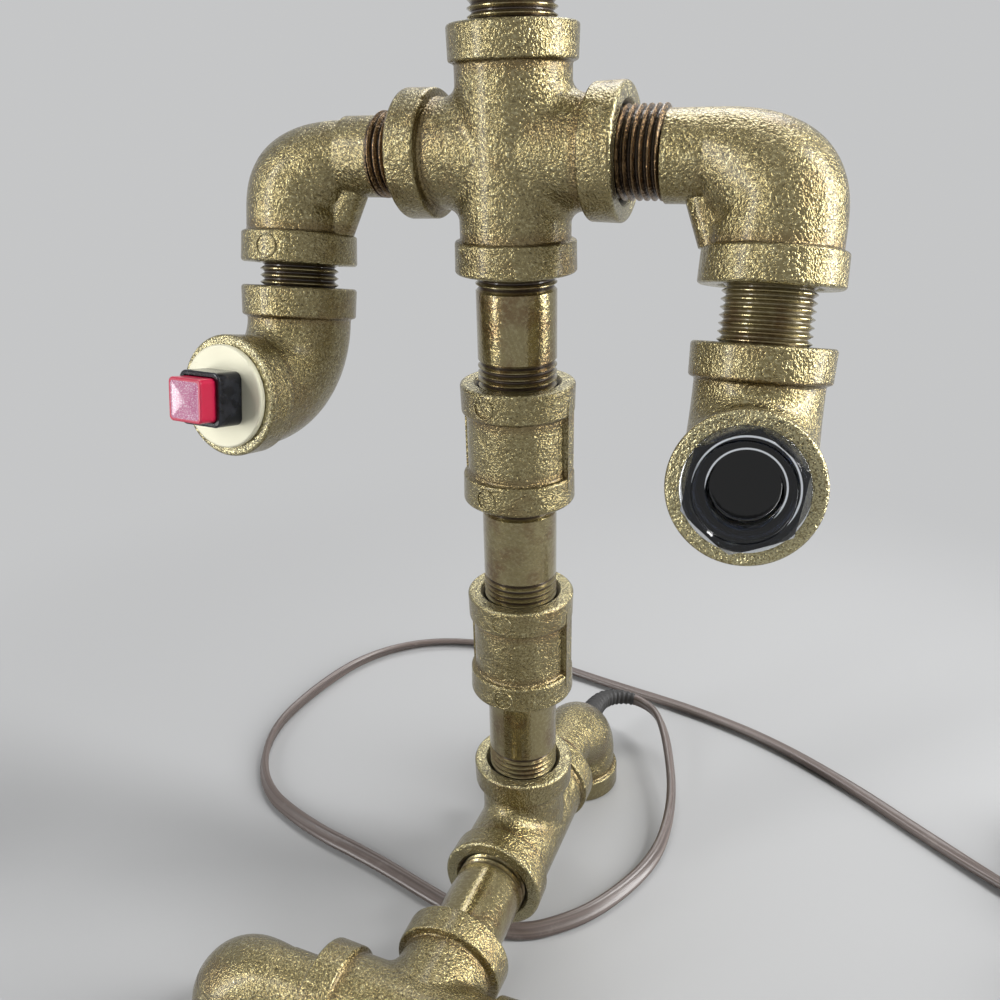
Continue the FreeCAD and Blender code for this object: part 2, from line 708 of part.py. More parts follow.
# ---------------------------------------------------------------- switch
def build_switch():
    """Push switch, drawn along +Z with the left hand's mouth at REACH."""
    plate_top = REACH + PLATE_THICKNESS
    spigot_end = REACH - SPIGOT_LENGTH
    housing_top = plate_top + HOUSING_HEIGHT
    barrel_end = plate_top - BARREL_LENGTH
    base_top = barrel_end + SWITCH_BASE_THICKNESS
    bridge_floor = base_top + TERMINAL_RISE + BUTTON_TRAVEL + CONTACT_GAP
    bridge_top = bridge_floor + BRIDGE_THICKNESS
    chamber_top = bridge_top + CHAMBER_ROOM
    well_bottom = chamber_top + WELL_FLOOR
    cap_floor = housing_top - BUTTON_SKIRT
    cap_top = housing_top + BUTTON_PROUD
    pocket_floor = cap_floor - BUTTON_TRAVEL - BUTTON_PLAY
    barrel_hole_r = BARREL_OD / 2 + THREAD_GAP

    plate = lathe([
        (spigot_end, barrel_hole_r, 0),
        (spigot_end, PIPE_R, PLATE_ROUND),
        (REACH, PIPE_R, 0),
        (REACH, PLATE_OD / 2, PLATE_ROUND),
        (plate_top, PLATE_OD / 2, PLATE_ROUND),
        (plate_top, barrel_hole_r, 0),
    ])
    nut = lathe([
        (spigot_end - NUT_HEIGHT, barrel_hole_r, 0),
        (spigot_end - NUT_HEIGHT, NUT_OD / 2, NUT_ROUND),
        (spigot_end, NUT_OD / 2, NUT_ROUND),
        (spigot_end, barrel_hole_r, 0),
    ])

    housing = rounded_box(HOUSING_WIDTH, HOUSING_HEIGHT, HOUSING_CORNER, plate_top)
    housing = soft_top(housing, housing_top, HOUSING_RIM_ROUND)
    housing = joined([housing, rod(BARREL_OD / 2, V(0, 0, barrel_end), Z, BARREL_LENGTH + 1)])
    pocket = rounded_box(POCKET_WIDTH, housing_top - pocket_floor + 1, BUTTON_CORNER, pocket_floor)
    spring_well = rod(SPRING_WELL_D / 2, V(0, 0, well_bottom), Z, pocket_floor - well_bottom + 1)
    stem_hole = rod(STEM_D / 2 + STEM_PLAY, V(0, 0, chamber_top - 1), Z, WELL_FLOOR + 2)
    chamber = rod(CONTACT_CHAMBER_D / 2, V(0, 0, barrel_end - 1), Z, chamber_top - barrel_end + 1)
    housing = first_solid(housing.cut([pocket, spring_well, stem_hole, chamber]))

    lens_width = BUTTON_WIDTH - 2 * LENS_MARGIN
    lens_floor = cap_top - LENS_THICKNESS
    lens = rounded_box(lens_width, LENS_THICKNESS, LENS_CORNER, lens_floor)
    cap = rounded_box(BUTTON_WIDTH, cap_top - cap_floor, BUTTON_CORNER, cap_floor)
    cap = first_solid(soft_top(cap, cap_top, BUTTON_BRIM_ROUND).cut(lens))
    stem = rod(STEM_D / 2, V(0, 0, bridge_top), Z, cap_floor - bridge_top)
    bridge_length = CONTACT_CHAMBER_D - 2 * BRIDGE_PLAY
    bridge = Part.makeBox(bridge_length, BRIDGE_WIDTH, BRIDGE_THICKNESS)
    bridge = moved(bridge, -bridge_length / 2, -BRIDGE_WIDTH / 2, bridge_floor)

    terminals = []
    for side in (-1, 1):
        blade_height = TERMINAL_TAIL + SWITCH_BASE_THICKNESS + TERMINAL_RISE
        blade = Part.makeBox(TERMINAL_THICKNESS, TERMINAL_WIDTH, blade_height)
        blade_x = (side * TERMINAL_SPREAD - TERMINAL_THICKNESS) / 2
        terminals.append(moved(blade, blade_x, -TERMINAL_WIDTH / 2, barrel_end - TERMINAL_TAIL))
    base = rod(CONTACT_CHAMBER_D / 2, V(0, 0, barrel_end), Z, SWITCH_BASE_THICKNESS)

    coil_r = (SPRING_OD - SPRING_WIRE) / 2
    spring_height = cap_floor - well_bottom - SPRING_WIRE
    helix = Part.makeHelix(spring_height / SPRING_TURNS, spring_height, coil_r)
    wire_end = Part.Wire(Part.makeCircle(SPRING_WIRE / 2, V(coil_r, 0, 0), Y))
    spring = first_solid(Part.Wire(helix.Edges).makePipeShell([wire_end], True, True))

    parts = {
        "switch_plate": plate,
        "switch_housing": housing,
        "switch_nut": nut,
        "switch_base": first_solid(base.cut(terminals)),
        "switch_terminals": Part.makeCompound(terminals),
        "button_cap": cap,
        "button_lens": lens,
        "button_stem": stem,
        "contact_bridge": bridge,
        "button_spring": standing(spring, well_bottom + SPRING_WIRE / 2),
    }
    return {name: in_left_hand(shape) for name, shape in parts.items()}


def build_sight_plug():
    """Clear hexagon plug, drawn along +Z in the right hand's mouth."""
    mouth = BULKY_REACH
    flange_top = mouth + SIGHT_FLANGE_THICKNESS
    shank_end = mouth - SIGHT_SHANK_LENGTH
    top = flange_top + SIGHT_HEX_HEIGHT
    corner_r = SIGHT_HEX_FLATS / math.sqrt(3)
    recess_r = SIGHT_RECESS_D / 2
    step_r = SIGHT_STEP_D / 2

    outline = [(shank_end, 0, 0), (shank_end, ROOT_R, 0)]
    outline += thread(shank_end, mouth - THREAD_END, PIPE_R)
    outline += [
        (mouth, ROOT_R, 0),
        (mouth, SIGHT_FLANGE_OD / 2, SIGHT_FLANGE_ROUND),
        (flange_top, SIGHT_FLANGE_OD / 2, SIGHT_FLANGE_ROUND),
        (flange_top, 0, 0),
    ]
    corners = []
    for turn in range(0, 361, 60):
        angle = math.radians(turn + SIGHT_HEX_TURN)
        corners.append(V(corner_r * math.cos(angle), corner_r * math.sin(angle), flange_top))
    hexagon = Part.Face(Part.makePolygon(corners)).extrude(V(0, 0, SIGHT_HEX_HEIGHT))
    crown = lathe([
        (flange_top, 0, 0),
        (flange_top, corner_r + 1, 0),
        (top - SIGHT_HEX_CHAMFER, corner_r + 0.1, 0),
        (top, corner_r - SIGHT_HEX_CHAMFER, 0),
        (top, 0, 0),
    ])
    recess = lathe([
        (top - SIGHT_RECESS_DEPTH, 0, 0),
        (top - SIGHT_RECESS_DEPTH, recess_r, SIGHT_RECESS_ROUND),
        (top - SIGHT_STEP_DEPTH, recess_r, 0),
        (top - SIGHT_STEP_DEPTH, step_r, SIGHT_STEP_ROUND),
        (top - SIGHT_RECESS_CHAMFER, step_r, 0),
        (top + SIGHT_RECESS_CHAMFER, step_r + 2 * SIGHT_RECESS_CHAMFER, 0),
        (top + SIGHT_RECESS_CHAMFER, 0, 0),
    ])
    plug = joined([lathe(outline), hexagon.common(crown)]).cut(recess)
    return {"sight_plug": in_right_hand(first_solid(plug))}


# ---------------------------------------------------------------- head
def build_lampholder():
    """Reducer with the lampholder in its cup, its screw shell and contact."""
    band_floor = REDUCER_LENGTH - REDUCER_BAND_HEIGHT
    reducer = lathe([
        (0, 0, 0),
        (0, BAND_OD / 2, MOUTH_ROUND),
        (BAND_HEIGHT, BAND_OD / 2 - BAND_DRAFT, BAND_SHOULDER * 0.6),
        (BAND_HEIGHT + BAND_SHOULDER, BODY_OD / 2, BAND_SHOULDER * 0.6),
        (band_floor - REDUCER_SKIRT, REDUCER_BODY_OD / 2, REDUCER_FLARE_ROUND),
        (band_floor - BAND_SHOULDER, REDUCER_BODY_OD / 2, BAND_SHOULDER * 0.5),
        (band_floor, REDUCER_BAND_OD / 2, BAND_SHOULDER * 0.6),
        (REDUCER_LENGTH, REDUCER_BAND_OD / 2, MOUTH_ROUND),
        (REDUCER_LENGTH, 0, 0),
    ])
    cup_floor = V(0, 0, REDUCER_LENGTH - REDUCER_BORE_DEPTH)
    reducer = first_solid(reducer.cut([
        tapped_hole(-Z, 0),
        rod(WATERWAY_D / 2, ORIGIN, Z, REDUCER_LENGTH),
        rod(REDUCER_BORE_D / 2, cup_floor, Z, REDUCER_BORE_DEPTH + 1),
    ]))

    holder_top = REDUCER_TOP + HOLDER_PROUD
    cup_r = SHELL_OD / 2
    shell_floor = HOLDER_BOTTOM + HOLDER_FLOOR
    rim_r = HOLDER_OD / 2 + HOLDER_RIM
    rim_top = REDUCER_TOP + HOLDER_RIM_HEIGHT
    holder = lathe([
        (HOLDER_BOTTOM, 0, 0),
        (HOLDER_BOTTOM, HOLDER_OD / 2, HOLDER_ROUND),
        (REDUCER_TOP, HOLDER_OD / 2, 0),
        (REDUCER_TOP, rim_r, HOLDER_ROUND),
        (rim_top, rim_r, HOLDER_ROUND),
        (rim_top + HOLDER_RIM_SLOPE, cup_r + HOLDER_WALL, HOLDER_ROUND),
        (holder_top, cup_r + HOLDER_WALL, HOLDER_ROUND),
        (holder_top, cup_r, 0),
        (shell_floor, cup_r, 0),
        (shell_floor, 0, 0),
    ])
    hole_r = LEAD_D / 2 + CORD_GAP
    holder = holder.cut([
        rod(hole_r, V(side * LEAD_OFFSET, 0, HOLDER_BOTTOM - 1), Z, LEAD_INTO_HOLDER + 1)
        for side in (-1, 1)
    ])

    shell_top = holder_top - SHELL_BELOW_RIM
    shell = lathe([
        (shell_floor, cup_r - SHELL_WALL, 0),
        (shell_floor, cup_r, 0),
        (shell_top, cup_r, 0),
        (shell_top, cup_r - SHELL_WALL, 0),
    ])
    strip = Part.makeBox(CONTACT_STRIP_WIDTH, CONTACT_STRIP_WIDTH, CONTACT_STRIP_THICKNESS)
    strip = moved(strip, -CONTACT_STRIP_WIDTH / 2, -CONTACT_STRIP_WIDTH / 2, shell_floor)
    button = rod(CONTACT_BUTTON_D / 2, V(0, 0, shell_floor), Z, CONTACT_RISE)
    return {
        "head_reducer": standing(reducer, REDUCER_Z),
        "lampholder_body": first_solid(holder),
        "lampholder_screw_shell": shell,
        "lampholder_centre_contact": joined([strip, button]),
    }


def bulb_blank(foot, neck_r, bulb_r, widest, top):
    """Solid bulb shape: a straight neck, a long shoulder and a dome."""
    neck_top = foot + BULB_NECK
    shoulder = Part.BezierCurve()
    shoulder.setPoles([
        V(neck_r, 0, neck_top),
        V(neck_r, 0, (neck_top + widest) / 2),
        V(bulb_r, 0, (neck_top + widest) / 2),
        V(bulb_r, 0, widest),
    ])
    dome = Part.BezierCurve()
    dome.setPoles([
        V(bulb_r, 0, widest),
        V(bulb_r, 0, (widest + top) / 2),
        V(bulb_r * 0.62, 0, top),
        V(0, 0, top),
    ])
    profile = Part.Wire([
        Part.makeLine(V(0, 0, foot), V(neck_r, 0, foot)),
        Part.makeLine(V(neck_r, 0, foot), V(neck_r, 0, neck_top)),
        shoulder.toShape(),
        dome.toShape(),
        Part.makeLine(V(0, 0, top), V(0, 0, foot)),
    ])
    return Part.Face(profile).revolve(ORIGIN, Z, 360)


def build_filament(cage_floor, support_floor, hub):
    """Zigzag filament around the stem, with its two supports and its spokes."""
    turns = []
    for i in range(CAGE_LEG_COUNT):
        angle = 2 * math.pi * i / CAGE_LEG_COUNT
        level = cage_floor + (CAGE_HEIGHT if i % 2 else 0)
        turns.append(V(CAGE_D / 2 * math.cos(angle), CAGE_D / 2 * math.sin(angle), level))
    wire_r = FILAMENT_D / 2
    pieces = [link(wire_r, start, end) for start, end in zip(turns, turns[1:])]
    pieces += [Part.makeSphere(wire_r, turn) for turn in turns]
    for turn in (turns[0], turns[-1]):
        foot = V(turn.x, turn.y, 0).normalize() * SUPPORT_R
        pieces.append(link(wire_r, foot + V(0, 0, support_floor), turn))
    pieces += [link(wire_r, hub, turn) for turn in turns[1::CAGE_LEG_COUNT // CAGE_SPOKE_COUNT]]
    return pieces[0].multiFuse(pieces[1:])


def build_bulb():
    """Screw cap with its insulator, then glass, stem and filament."""
    tip = HOLDER_BOTTOM + HOLDER_FLOOR + CONTACT_RISE
    cap_floor = tip + CAP_INSULATOR
    cap_top = cap_floor + CAP_HEIGHT
    root = CAP_CREST_OD / 2 - CAP_THREAD_HEIGHT
    inner_floor = cap_floor + 2 * CAP_WALL
    insulator = lathe([
        (tip, 0, 0),
        (tip, CAP_TIP_D / 2, 0),
        (cap_floor, root - CAP_SHOULDER, 0),
        (cap_floor, 0, 0),
    ])
    outline = [(cap_floor, 0, 0), (cap_floor, root - CAP_SHOULDER, 0)]
    outline += [(cap_floor + CAP_THREAD_FOOT - THREAD_FLAT, root, 0)]
    outline += thread(
        cap_floor + CAP_THREAD_FOOT,
        cap_top - CAP_COLLAR,
        CAP_CREST_OD / 2,
        CAP_THREAD_HEIGHT,
        CAP_PITCH,
    )
    outline += [
        (cap_top, root, 0),
        (cap_top, root - CAP_WALL, 0),
        (inner_floor + CAP_THREAD_FOOT, root - CAP_WALL, 0),
        (inner_floor, root - CAP_WALL - CAP_SHOULDER, 0),
        (inner_floor, 0, 0),
    ]

    foot = cap_top - BULB_SINK
    neck_r = root - CAP_WALL - BULB_NECK_GAP
    top = foot + BULB_WIDEST + BULB_DOME
    widest = foot + BULB_WIDEST
    outer = bulb_blank(foot, neck_r, BULB_OD / 2, widest, top)
    stem_floor = foot + BULB_WALL
    hollow = bulb_blank(stem_floor, neck_r - BULB_WALL, BULB_OD / 2 - BULB_WALL, widest, top - BULB_WALL)

    cage_floor = stem_floor + CAGE_FOOT
    cage_top = cage_floor + CAGE_HEIGHT
    stem = lathe([
        (stem_floor, 0, 0),
        (stem_floor, STEM_FLARE_OD / 2, 0),
        (stem_floor + STEM_FLARE_HEIGHT, STEM_TUBE_OD / 2, STEM_FLARE_ROUND),
        (stem_floor + STEM_TUBE_LENGTH, STEM_ROD_OD / 2, 0),
        (cage_top, STEM_ROD_OD / 2, 0),
        (cage_top, 0, 0),
    ])
    filament = build_filament(cage_floor, stem_floor + SUPPORT_RISE, V(0, 0, cage_top - FILAMENT_D))
    return {
        "bulb_insulator": insulator,
        "bulb_screw_cap": lathe(outline),
        "bulb_glass": first_solid(outer.cut(hollow)),
        "bulb_stem": stem,
        "bulb_filament": first_solid(filament.cut(stem)),
    }


# ---------------------------------------------------------------- wiring
def build_wiring(rear_elbow):
    """Grommet in the rear elbow's back, and the leads inside the pipes."""
    back_y = REAR_Y + BODY_OD / 2
    exit_y = back_y + GROMMET_LIP
    cord_hole_r = CORD_D / 2 + CORD_GAP
    hole = rod(GROMMET_D / 2, V(0, REAR_Y, EXIT_RISE), Y, BODY_OD)
    rear_elbow = first_solid(rear_elbow.cut(hole))
    grommet = lathe([
        (back_y - GROMMET_DEPTH, cord_hole_r, 0),
        (back_y - GROMMET_DEPTH, GROMMET_D / 2, GROMMET_ROUND),
        (back_y - GROMMET_LIP_BACK, GROMMET_D / 2, 0),
        (back_y - GROMMET_LIP_BACK, GROMMET_LIP_OD / 2, 0),
        (exit_y, GROMMET_LIP_OD / 2, GROMMET_ROUND),
        (exit_y, cord_hole_r, GROMMET_ROUND),
    ], V(0, 0, EXIT_RISE), Y)
    lead_top = HOLDER_BOTTOM + LEAD_INTO_HOLDER
    feed = [
        (0, exit_y, EXIT_RISE),
        (0, back_y - LEAD_BEND, EXIT_RISE),
        (0, REAR_Y - LEAD_BEND, TEE_Z - 1),
        (LEAD_OFFSET, LEAD_BEND + LEAD_TURN, TEE_Z - 1),
        (LEAD_OFFSET, 0, TEE_Z + LEAD_TURN / 2),
        (LEAD_OFFSET, 0, lead_top),
    ]
    chest = [
        (-LEAD_OFFSET, 0, lead_top),
        (-LEAD_OFFSET, 0, CROSS_Z),
        (LEFT_SHOULDER_X + STREET_REACH, 0, CROSS_Z),
    ]
    arm = [
        (STREET_REACH, 0, 0),
        (LEAD_TURN, 0, 0),
        (0, 0, -LEAD_TURN),
        (0, 0, -REACH - LEFT_WRIST_GAP - LEFT_WRIST_GRIP),
    ]
    hand = [
        (0, REACH - LEFT_WRIST_GRIP, 0),
        (0, LEAD_TURN, 0),
        (0, 0, LEAD_TURN / 2),
        (0, 0, REACH + PLATE_THICKNESS - BARREL_LENGTH - TERMINAL_TAIL),
    ]
    nodes = {
        "rear_foot_elbow": rear_elbow,
        "cord_grommet": first_solid(grommet.cut(rear_elbow)),
        "feed_lead": tube(feed, LEAD_D)[0],
        "switch_lead_chest": tube(chest, LEAD_D)[0],
        "switch_lead_arm": in_left_arm(tube(arm, LEAD_D)[0]),
        "switch_lead_hand": in_left_hand(tube(hand, LEAD_D)[0]),
    }
    return nodes, (0, exit_y, EXIT_RISE)


def build_cord(exit_point):
    """Free cord from the grommet, the coil of its put-away length, and its plug."""
    run, length, radii = tube([exit_point] + CORD_ROUTE, CORD_D)
    left = CORD_LENGTH - length
    section = math.pi * CORD_D ** 2 / 4
    print("cord run %.1f long, volume ratio %.4f" % (length, run.Volume / section / length))
    print("cord radii", " ".join("%.0f" % radius for radius in radii))
    print("left for the coil %.0f, turns %.1f" % (left, left / math.pi / COIL_D))
    centre_x, centre_y = COIL_CENTRE
    inner = (COIL_D - COIL_WIDTH) / 2
    outer = inner + COIL_WIDTH
    coil = lathe([
        (CORD_GAP, inner, COIL_LOWER_ROUND),
        (CORD_GAP, outer, COIL_LOWER_ROUND),
        (CORD_GAP + COIL_HEIGHT, outer, COIL_UPPER_ROUND),
        (CORD_GAP + COIL_HEIGHT, inner, COIL_UPPER_ROUND),
    ], V(centre_x, centre_y, 0))

    plug_x = centre_x - PLUG_ASIDE
    plug_back = centre_y - math.sqrt(outer ** 2 - (PLUG_ASIDE - PLUG_NECK / 2) ** 2) + PLUG_INTO_COIL
    plug_front = plug_back - PLUG_LENGTH
    outline = [
        V(-PLUG_WIDTH / 2, 0, 0),
        V(PLUG_WIDTH / 2, 0, 0),
        V(PLUG_WIDTH / 2, PLUG_LENGTH - PLUG_TAPER, 0),
        V(PLUG_NECK / 2, PLUG_LENGTH, 0),
        V(-PLUG_NECK / 2, PLUG_LENGTH, 0),
        V(-PLUG_WIDTH / 2, PLUG_LENGTH - PLUG_TAPER, 0),
        V(-PLUG_WIDTH / 2, 0, 0),
    ]
    plug = Part.Face(Part.makePolygon(outline)).extrude(V(0, 0, PLUG_HEIGHT))
    plug = moved(plug.makeFillet(PLUG_ROUND, plug.Edges), plug_x, plug_front, 0)
    blades = []
    for side in (-1, 1):
        blade = Part.makeBox(BLADE_THICKNESS, BLADE_LENGTH + BLADE_ROOT, BLADE_WIDTH)
        blade_x = plug_x + (side * BLADE_SPREAD - BLADE_THICKNESS) / 2
        blades.append(moved(blade, blade_x, plug_front - BLADE_LENGTH, (PLUG_HEIGHT - BLADE_WIDTH) / 2))
    return {
        "cord_run": run,
        "cord_coil": coil,
        "plug_body": first_solid(plug.cut(blades)),
        "plug_blades": Part.makeCompound(blades),
    }


def main():
    nodes = build_pipework()
    nodes.update(build_feet())
    nodes.update(build_arms())
    nodes.update(build_switch())
    nodes.update(build_sight_plug())
    nodes.update(build_lampholder())
    nodes.update(build_bulb())
    wiring, exit_point = build_wiring(nodes["rear_foot_elbow"])
    nodes.update(wiring)
    box = Part.makeCompound(list(nodes.values())).BoundBox
    nodes.update(build_cord(exit_point))
    to_origin = V(-box.Center.x, -box.Center.y, -box.ZMin)
    print("column's axis at", to_origin, "exit", V(*exit_point) + to_origin)
    os.makedirs("parts", exist_ok=True)
    for name, shape in nodes.items():
        shape.translate(to_origin)
        print("%-26s %d solids %9.1f mm3 valid %s" % (name, len(shape.Solids), shape.Volume, shape.isValid()))
        shape.exportStep("parts/%s.step" % name)


main()
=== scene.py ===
import json
import math

import bpy
from mathutils import Matrix, Vector

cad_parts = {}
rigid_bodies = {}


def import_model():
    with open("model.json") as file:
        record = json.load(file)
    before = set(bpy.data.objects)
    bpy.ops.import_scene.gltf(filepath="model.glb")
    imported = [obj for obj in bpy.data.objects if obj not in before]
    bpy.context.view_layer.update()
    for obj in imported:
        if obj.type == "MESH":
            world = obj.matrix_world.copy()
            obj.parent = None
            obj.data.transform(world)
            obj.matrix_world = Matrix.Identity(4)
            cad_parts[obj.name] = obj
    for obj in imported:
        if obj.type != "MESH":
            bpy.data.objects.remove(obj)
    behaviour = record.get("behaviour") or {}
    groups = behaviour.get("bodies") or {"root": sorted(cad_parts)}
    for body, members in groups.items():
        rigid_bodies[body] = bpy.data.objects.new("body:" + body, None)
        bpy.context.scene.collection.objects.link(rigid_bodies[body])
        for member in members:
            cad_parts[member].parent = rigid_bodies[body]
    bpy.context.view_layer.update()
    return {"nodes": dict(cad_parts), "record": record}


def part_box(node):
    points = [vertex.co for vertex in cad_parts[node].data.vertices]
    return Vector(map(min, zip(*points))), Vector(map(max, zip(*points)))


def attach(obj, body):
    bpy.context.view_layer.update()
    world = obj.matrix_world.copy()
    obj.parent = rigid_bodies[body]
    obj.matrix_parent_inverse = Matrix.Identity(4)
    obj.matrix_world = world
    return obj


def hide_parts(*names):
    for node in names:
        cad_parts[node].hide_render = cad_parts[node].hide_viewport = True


MM = 0.001

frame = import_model()
for shown in bpy.data.objects:
    shown.select_set(False)


# ------------------------------------------------------- places in the frame
def middle(node):
    low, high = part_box(node)
    return (low + high) / 2


def size(node):
    low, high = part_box(node)
    return high - low


JOINTS = {row["name"]: row for row in frame["record"]["behaviour"]["joints"]}
X, Y, Z = Vector((1, 0, 0)), Vector((0, 1, 0)), Vector((0, 0, 1))
COLUMN = Vector((middle("hip_nipple").x, middle("hip_nipple").y, 0))
CHEST = middle("chest_cross")
REACH = size("chest_cross").x / 2
BAND_R = size("chest_cross").y / 2
BAND_HEIGHT = 8 * MM
BASE_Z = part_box("base_tee")[1].z - REACH
FRONT_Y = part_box("front_tee")[1].y - REACH
# The right arm's two elbows are bulkier castings than the others.
BULKY_REACH = REACH + 0.7 * MM


def downward(joint):
    axis = Vector(JOINTS[joint]["axis"])
    return axis if axis.z < 0 else -axis


def foot_of(point, start, direction):
    """The point of a line that lies nearest to another point."""
    return start + direction * (point - start).dot(direction)


LEFT_DOWN = downward("left_wrist_turn")
RIGHT_DOWN = downward("right_wrist_turn")
LEFT_SHOULDER = Vector(JOINTS["left_shoulder_swing"]["pos_m"])
RIGHT_SHOULDER = Vector(JOINTS["right_shoulder_swing"]["pos_m"])
LEFT_HAND = foot_of(middle("switch_plate"), LEFT_SHOULDER, LEFT_DOWN)
RIGHT_HAND = foot_of(middle("sight_plug"), RIGHT_SHOULDER, RIGHT_DOWN)
LEFT_OUT = -Vector(JOINTS["button_press"]["axis"])
RIGHT_OUT = (middle("sight_plug") - RIGHT_HAND).normalized()
LEFT_FOOT = Vector((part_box("left_foot_elbow")[0].x + BAND_R, FRONT_Y, BASE_Z))
RIGHT_FOOT = Vector((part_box("right_foot_elbow")[1].x - BAND_R, FRONT_Y, BASE_Z))
REAR_FOOT = Vector((COLUMN.x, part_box("rear_foot_elbow")[1].y - BAND_R, BASE_Z))

# Every casting: its centre, its reach, its open mouths and its male end.
CASTINGS = {
    "chest_cross": (CHEST, REACH, [X, -X, Z, -Z], None),
    "base_tee": (Vector((COLUMN.x, COLUMN.y, BASE_Z)), REACH, [Y, -Y, Z], None),
    "front_tee": (Vector((COLUMN.x, FRONT_Y, BASE_Z)), REACH, [X, -X, Y], None),
    "lower_coupling": (middle("lower_coupling"), size("lower_coupling").z / 2, [Z, -Z], None),
    "upper_coupling": (middle("upper_coupling"), size("upper_coupling").z / 2, [Z, -Z], None),
    "left_foot_elbow": (LEFT_FOOT, REACH, [-Z], X),
    "right_foot_elbow": (RIGHT_FOOT, REACH, [-Z], -X),
    "rear_foot_elbow": (REAR_FOOT, REACH, [-Z], -Y),
    "left_shoulder_elbow": (LEFT_SHOULDER, REACH, [LEFT_DOWN], X),
    "right_shoulder_elbow": (RIGHT_SHOULDER, BULKY_REACH, [RIGHT_DOWN], -X),
    "left_hand_elbow": (LEFT_HAND, REACH, [-LEFT_DOWN, LEFT_OUT], None),
    "right_hand_elbow": (RIGHT_HAND, BULKY_REACH, [-RIGHT_DOWN, RIGHT_OUT], None),
    "head_reducer": (middle("head_reducer"), size("head_reducer").z / 2, [-Z], None),
}
# Every nipple and the line that it lies on.
NIPPLES = {
    "hip_nipple": Z,
    "waist_nipple": Z,
    "chest_nipple": Z,
    "neck_nipple": Z,
    "leg_nipple": Y,
    "left_wrist_nipple": LEFT_DOWN,
    "right_wrist_nipple": RIGHT_DOWN,
}


# ---------------------------------------------------------------- camera
LENS_MM = 32.04
SENSOR_MM = 36.0
EYE = COLUMN + Vector((85.885, -218.564, 249.323)) * MM
# Degrees.
HEADING = 22.82
TILT = 66.69
ROLL = -1.37


def place_camera():
    data = bpy.data.cameras.new("camera")
    data.lens = LENS_MM
    data.sensor_width = SENSOR_MM
    data.clip_start = 10 * MM
    camera = bpy.data.objects.new("camera", data)
    turn = Matrix.Rotation(math.radians(HEADING), 4, "Z")
    tilt = Matrix.Rotation(math.radians(TILT), 4, "X")
    roll = Matrix.Rotation(math.radians(ROLL), 4, "Z")
    camera.matrix_world = Matrix.Translation(EYE) @ turn @ tilt @ roll
    bpy.context.scene.collection.objects.link(camera)
    bpy.context.scene.camera = camera


# ------------------------------------------------------- how finishes are mixed
class Value:
    """What a shader socket gives, for use in Python arithmetic."""

    def __init__(self, finish, socket):
        self.finish = finish
        self.socket = socket

    def math(self, operation, *values):
        return self.finish.node("Math", {"operation": operation}, dict(enumerate(values)))

    def __add__(self, other):
        return self.math("ADD", self, other)

    __radd__ = __add__

    def __mul__(self, other):
        return self.math("MULTIPLY", self, other)

    def __rsub__(self, other):
        return self.math("SUBTRACT", other, self)

    def __sub__(self, other):
        return self.math("SUBTRACT", self, other)

    def __truediv__(self, other):
        return self.math("DIVIDE", self, other)

    def larger(self, other):
        return self.math("MAXIMUM", self, other)

    def rise(self, low, high, start=0.0):
        """0 below low, 1 above high and smooth between, both counted from a start."""
        sockets = {"Value": self, "From Min": start + low, "From Max": start + high}
        return self.finish.node("MapRange", {"interpolation_type": "SMOOTHSTEP"}, sockets)

    def fall(self, low, high):
        return 1 - self.rise(low, high)


class Finish:
    """A material that is built from nodes around one Principled shader."""

    def __init__(self, name):
        self.material = bpy.data.materials.new(name)
        self.material.use_nodes = True
        self.tree = self.material.node_tree
        self.shader = self.tree.nodes["Principled BSDF"]

    def feed(self, socket, value):
        """Set a socket to a number or colour, or link a value to it."""
        if isinstance(value, Value):
            self.tree.links.new(value.socket, socket)
        else:
            socket.default_value = value

    def node(self, kind, settings, sockets, output=0):
        made = self.tree.nodes.new("ShaderNode" + kind)
        for key, value in settings.items():
            setattr(made, key, value)
        for key, value in sockets.items():
            self.feed(made.inputs[key], value)
        return Value(self, made.outputs[output])

    def spot(self):
        return self.node("TexCoord", {}, {}, "Object")

    def vector(self, operation, *values):
        output = "Value" if operation in ("LENGTH", "DOT_PRODUCT") else "Vector"
        return self.node("VectorMath", {"operation": operation}, dict(enumerate(values)), output)

    def along(self, centre, direction):
        """Millimetres ahead of a centre, along a direction."""
        away = self.vector("SUBTRACT", self.spot(), centre)
        return self.vector("DOT_PRODUCT", away, direction) / MM

    def aside(self, centre, direction):
        """Millimetres away from the line through a centre."""
        away = self.vector("SUBTRACT", self.spot(), centre)
        return self.vector("LENGTH", self.vector("CROSS_PRODUCT", away, direction)) / MM

    def noise(self, size_mm, detail=2.0, rough=0.5, where=None, warp=0.0):
        sockets = {
            "Vector": where or self.spot(),
            "Scale": 1 / (size_mm * MM),
            "Detail": detail,
            "Roughness": rough,
            "Distortion": warp,
        }
        return self.node("TexNoise", {}, sockets)

    def mix(self, share, low, high):
        return self.node("Mix", {"data_type": "RGBA"}, {0: share, 6: low, 7: high}, 2)

    def bump(self, height, depth_mm, below=None):
        sockets = {"Height": height, "Distance": depth_mm * MM, "Strength": 1.0}
        if below:
            sockets["Normal"] = below
        return self.node("Bump", {}, sockets)

    def put(self, **sockets):
        for key, value in sockets.items():
            self.feed(self.shader.inputs[key.replace("_", " ")], value)
        return self.material


def rgb(red, green, blue):
    return (red, green, blue, 1.0)


# ---------------------------------------------------------------- gold paint
# The pale gold is the wear on the mouths' faces and also a painted highlight on the grain's
# crests; the dark gold is painted shade in the grain's pits.
PALE_GOLD_WEAR_AND_HIGHLIGHT = rgb(0.50, 0.455, 0.27)
GOLD = rgb(0.25, 0.205, 0.095)
GOLD_PIT_SHADE = rgb(0.10, 0.078, 0.035)
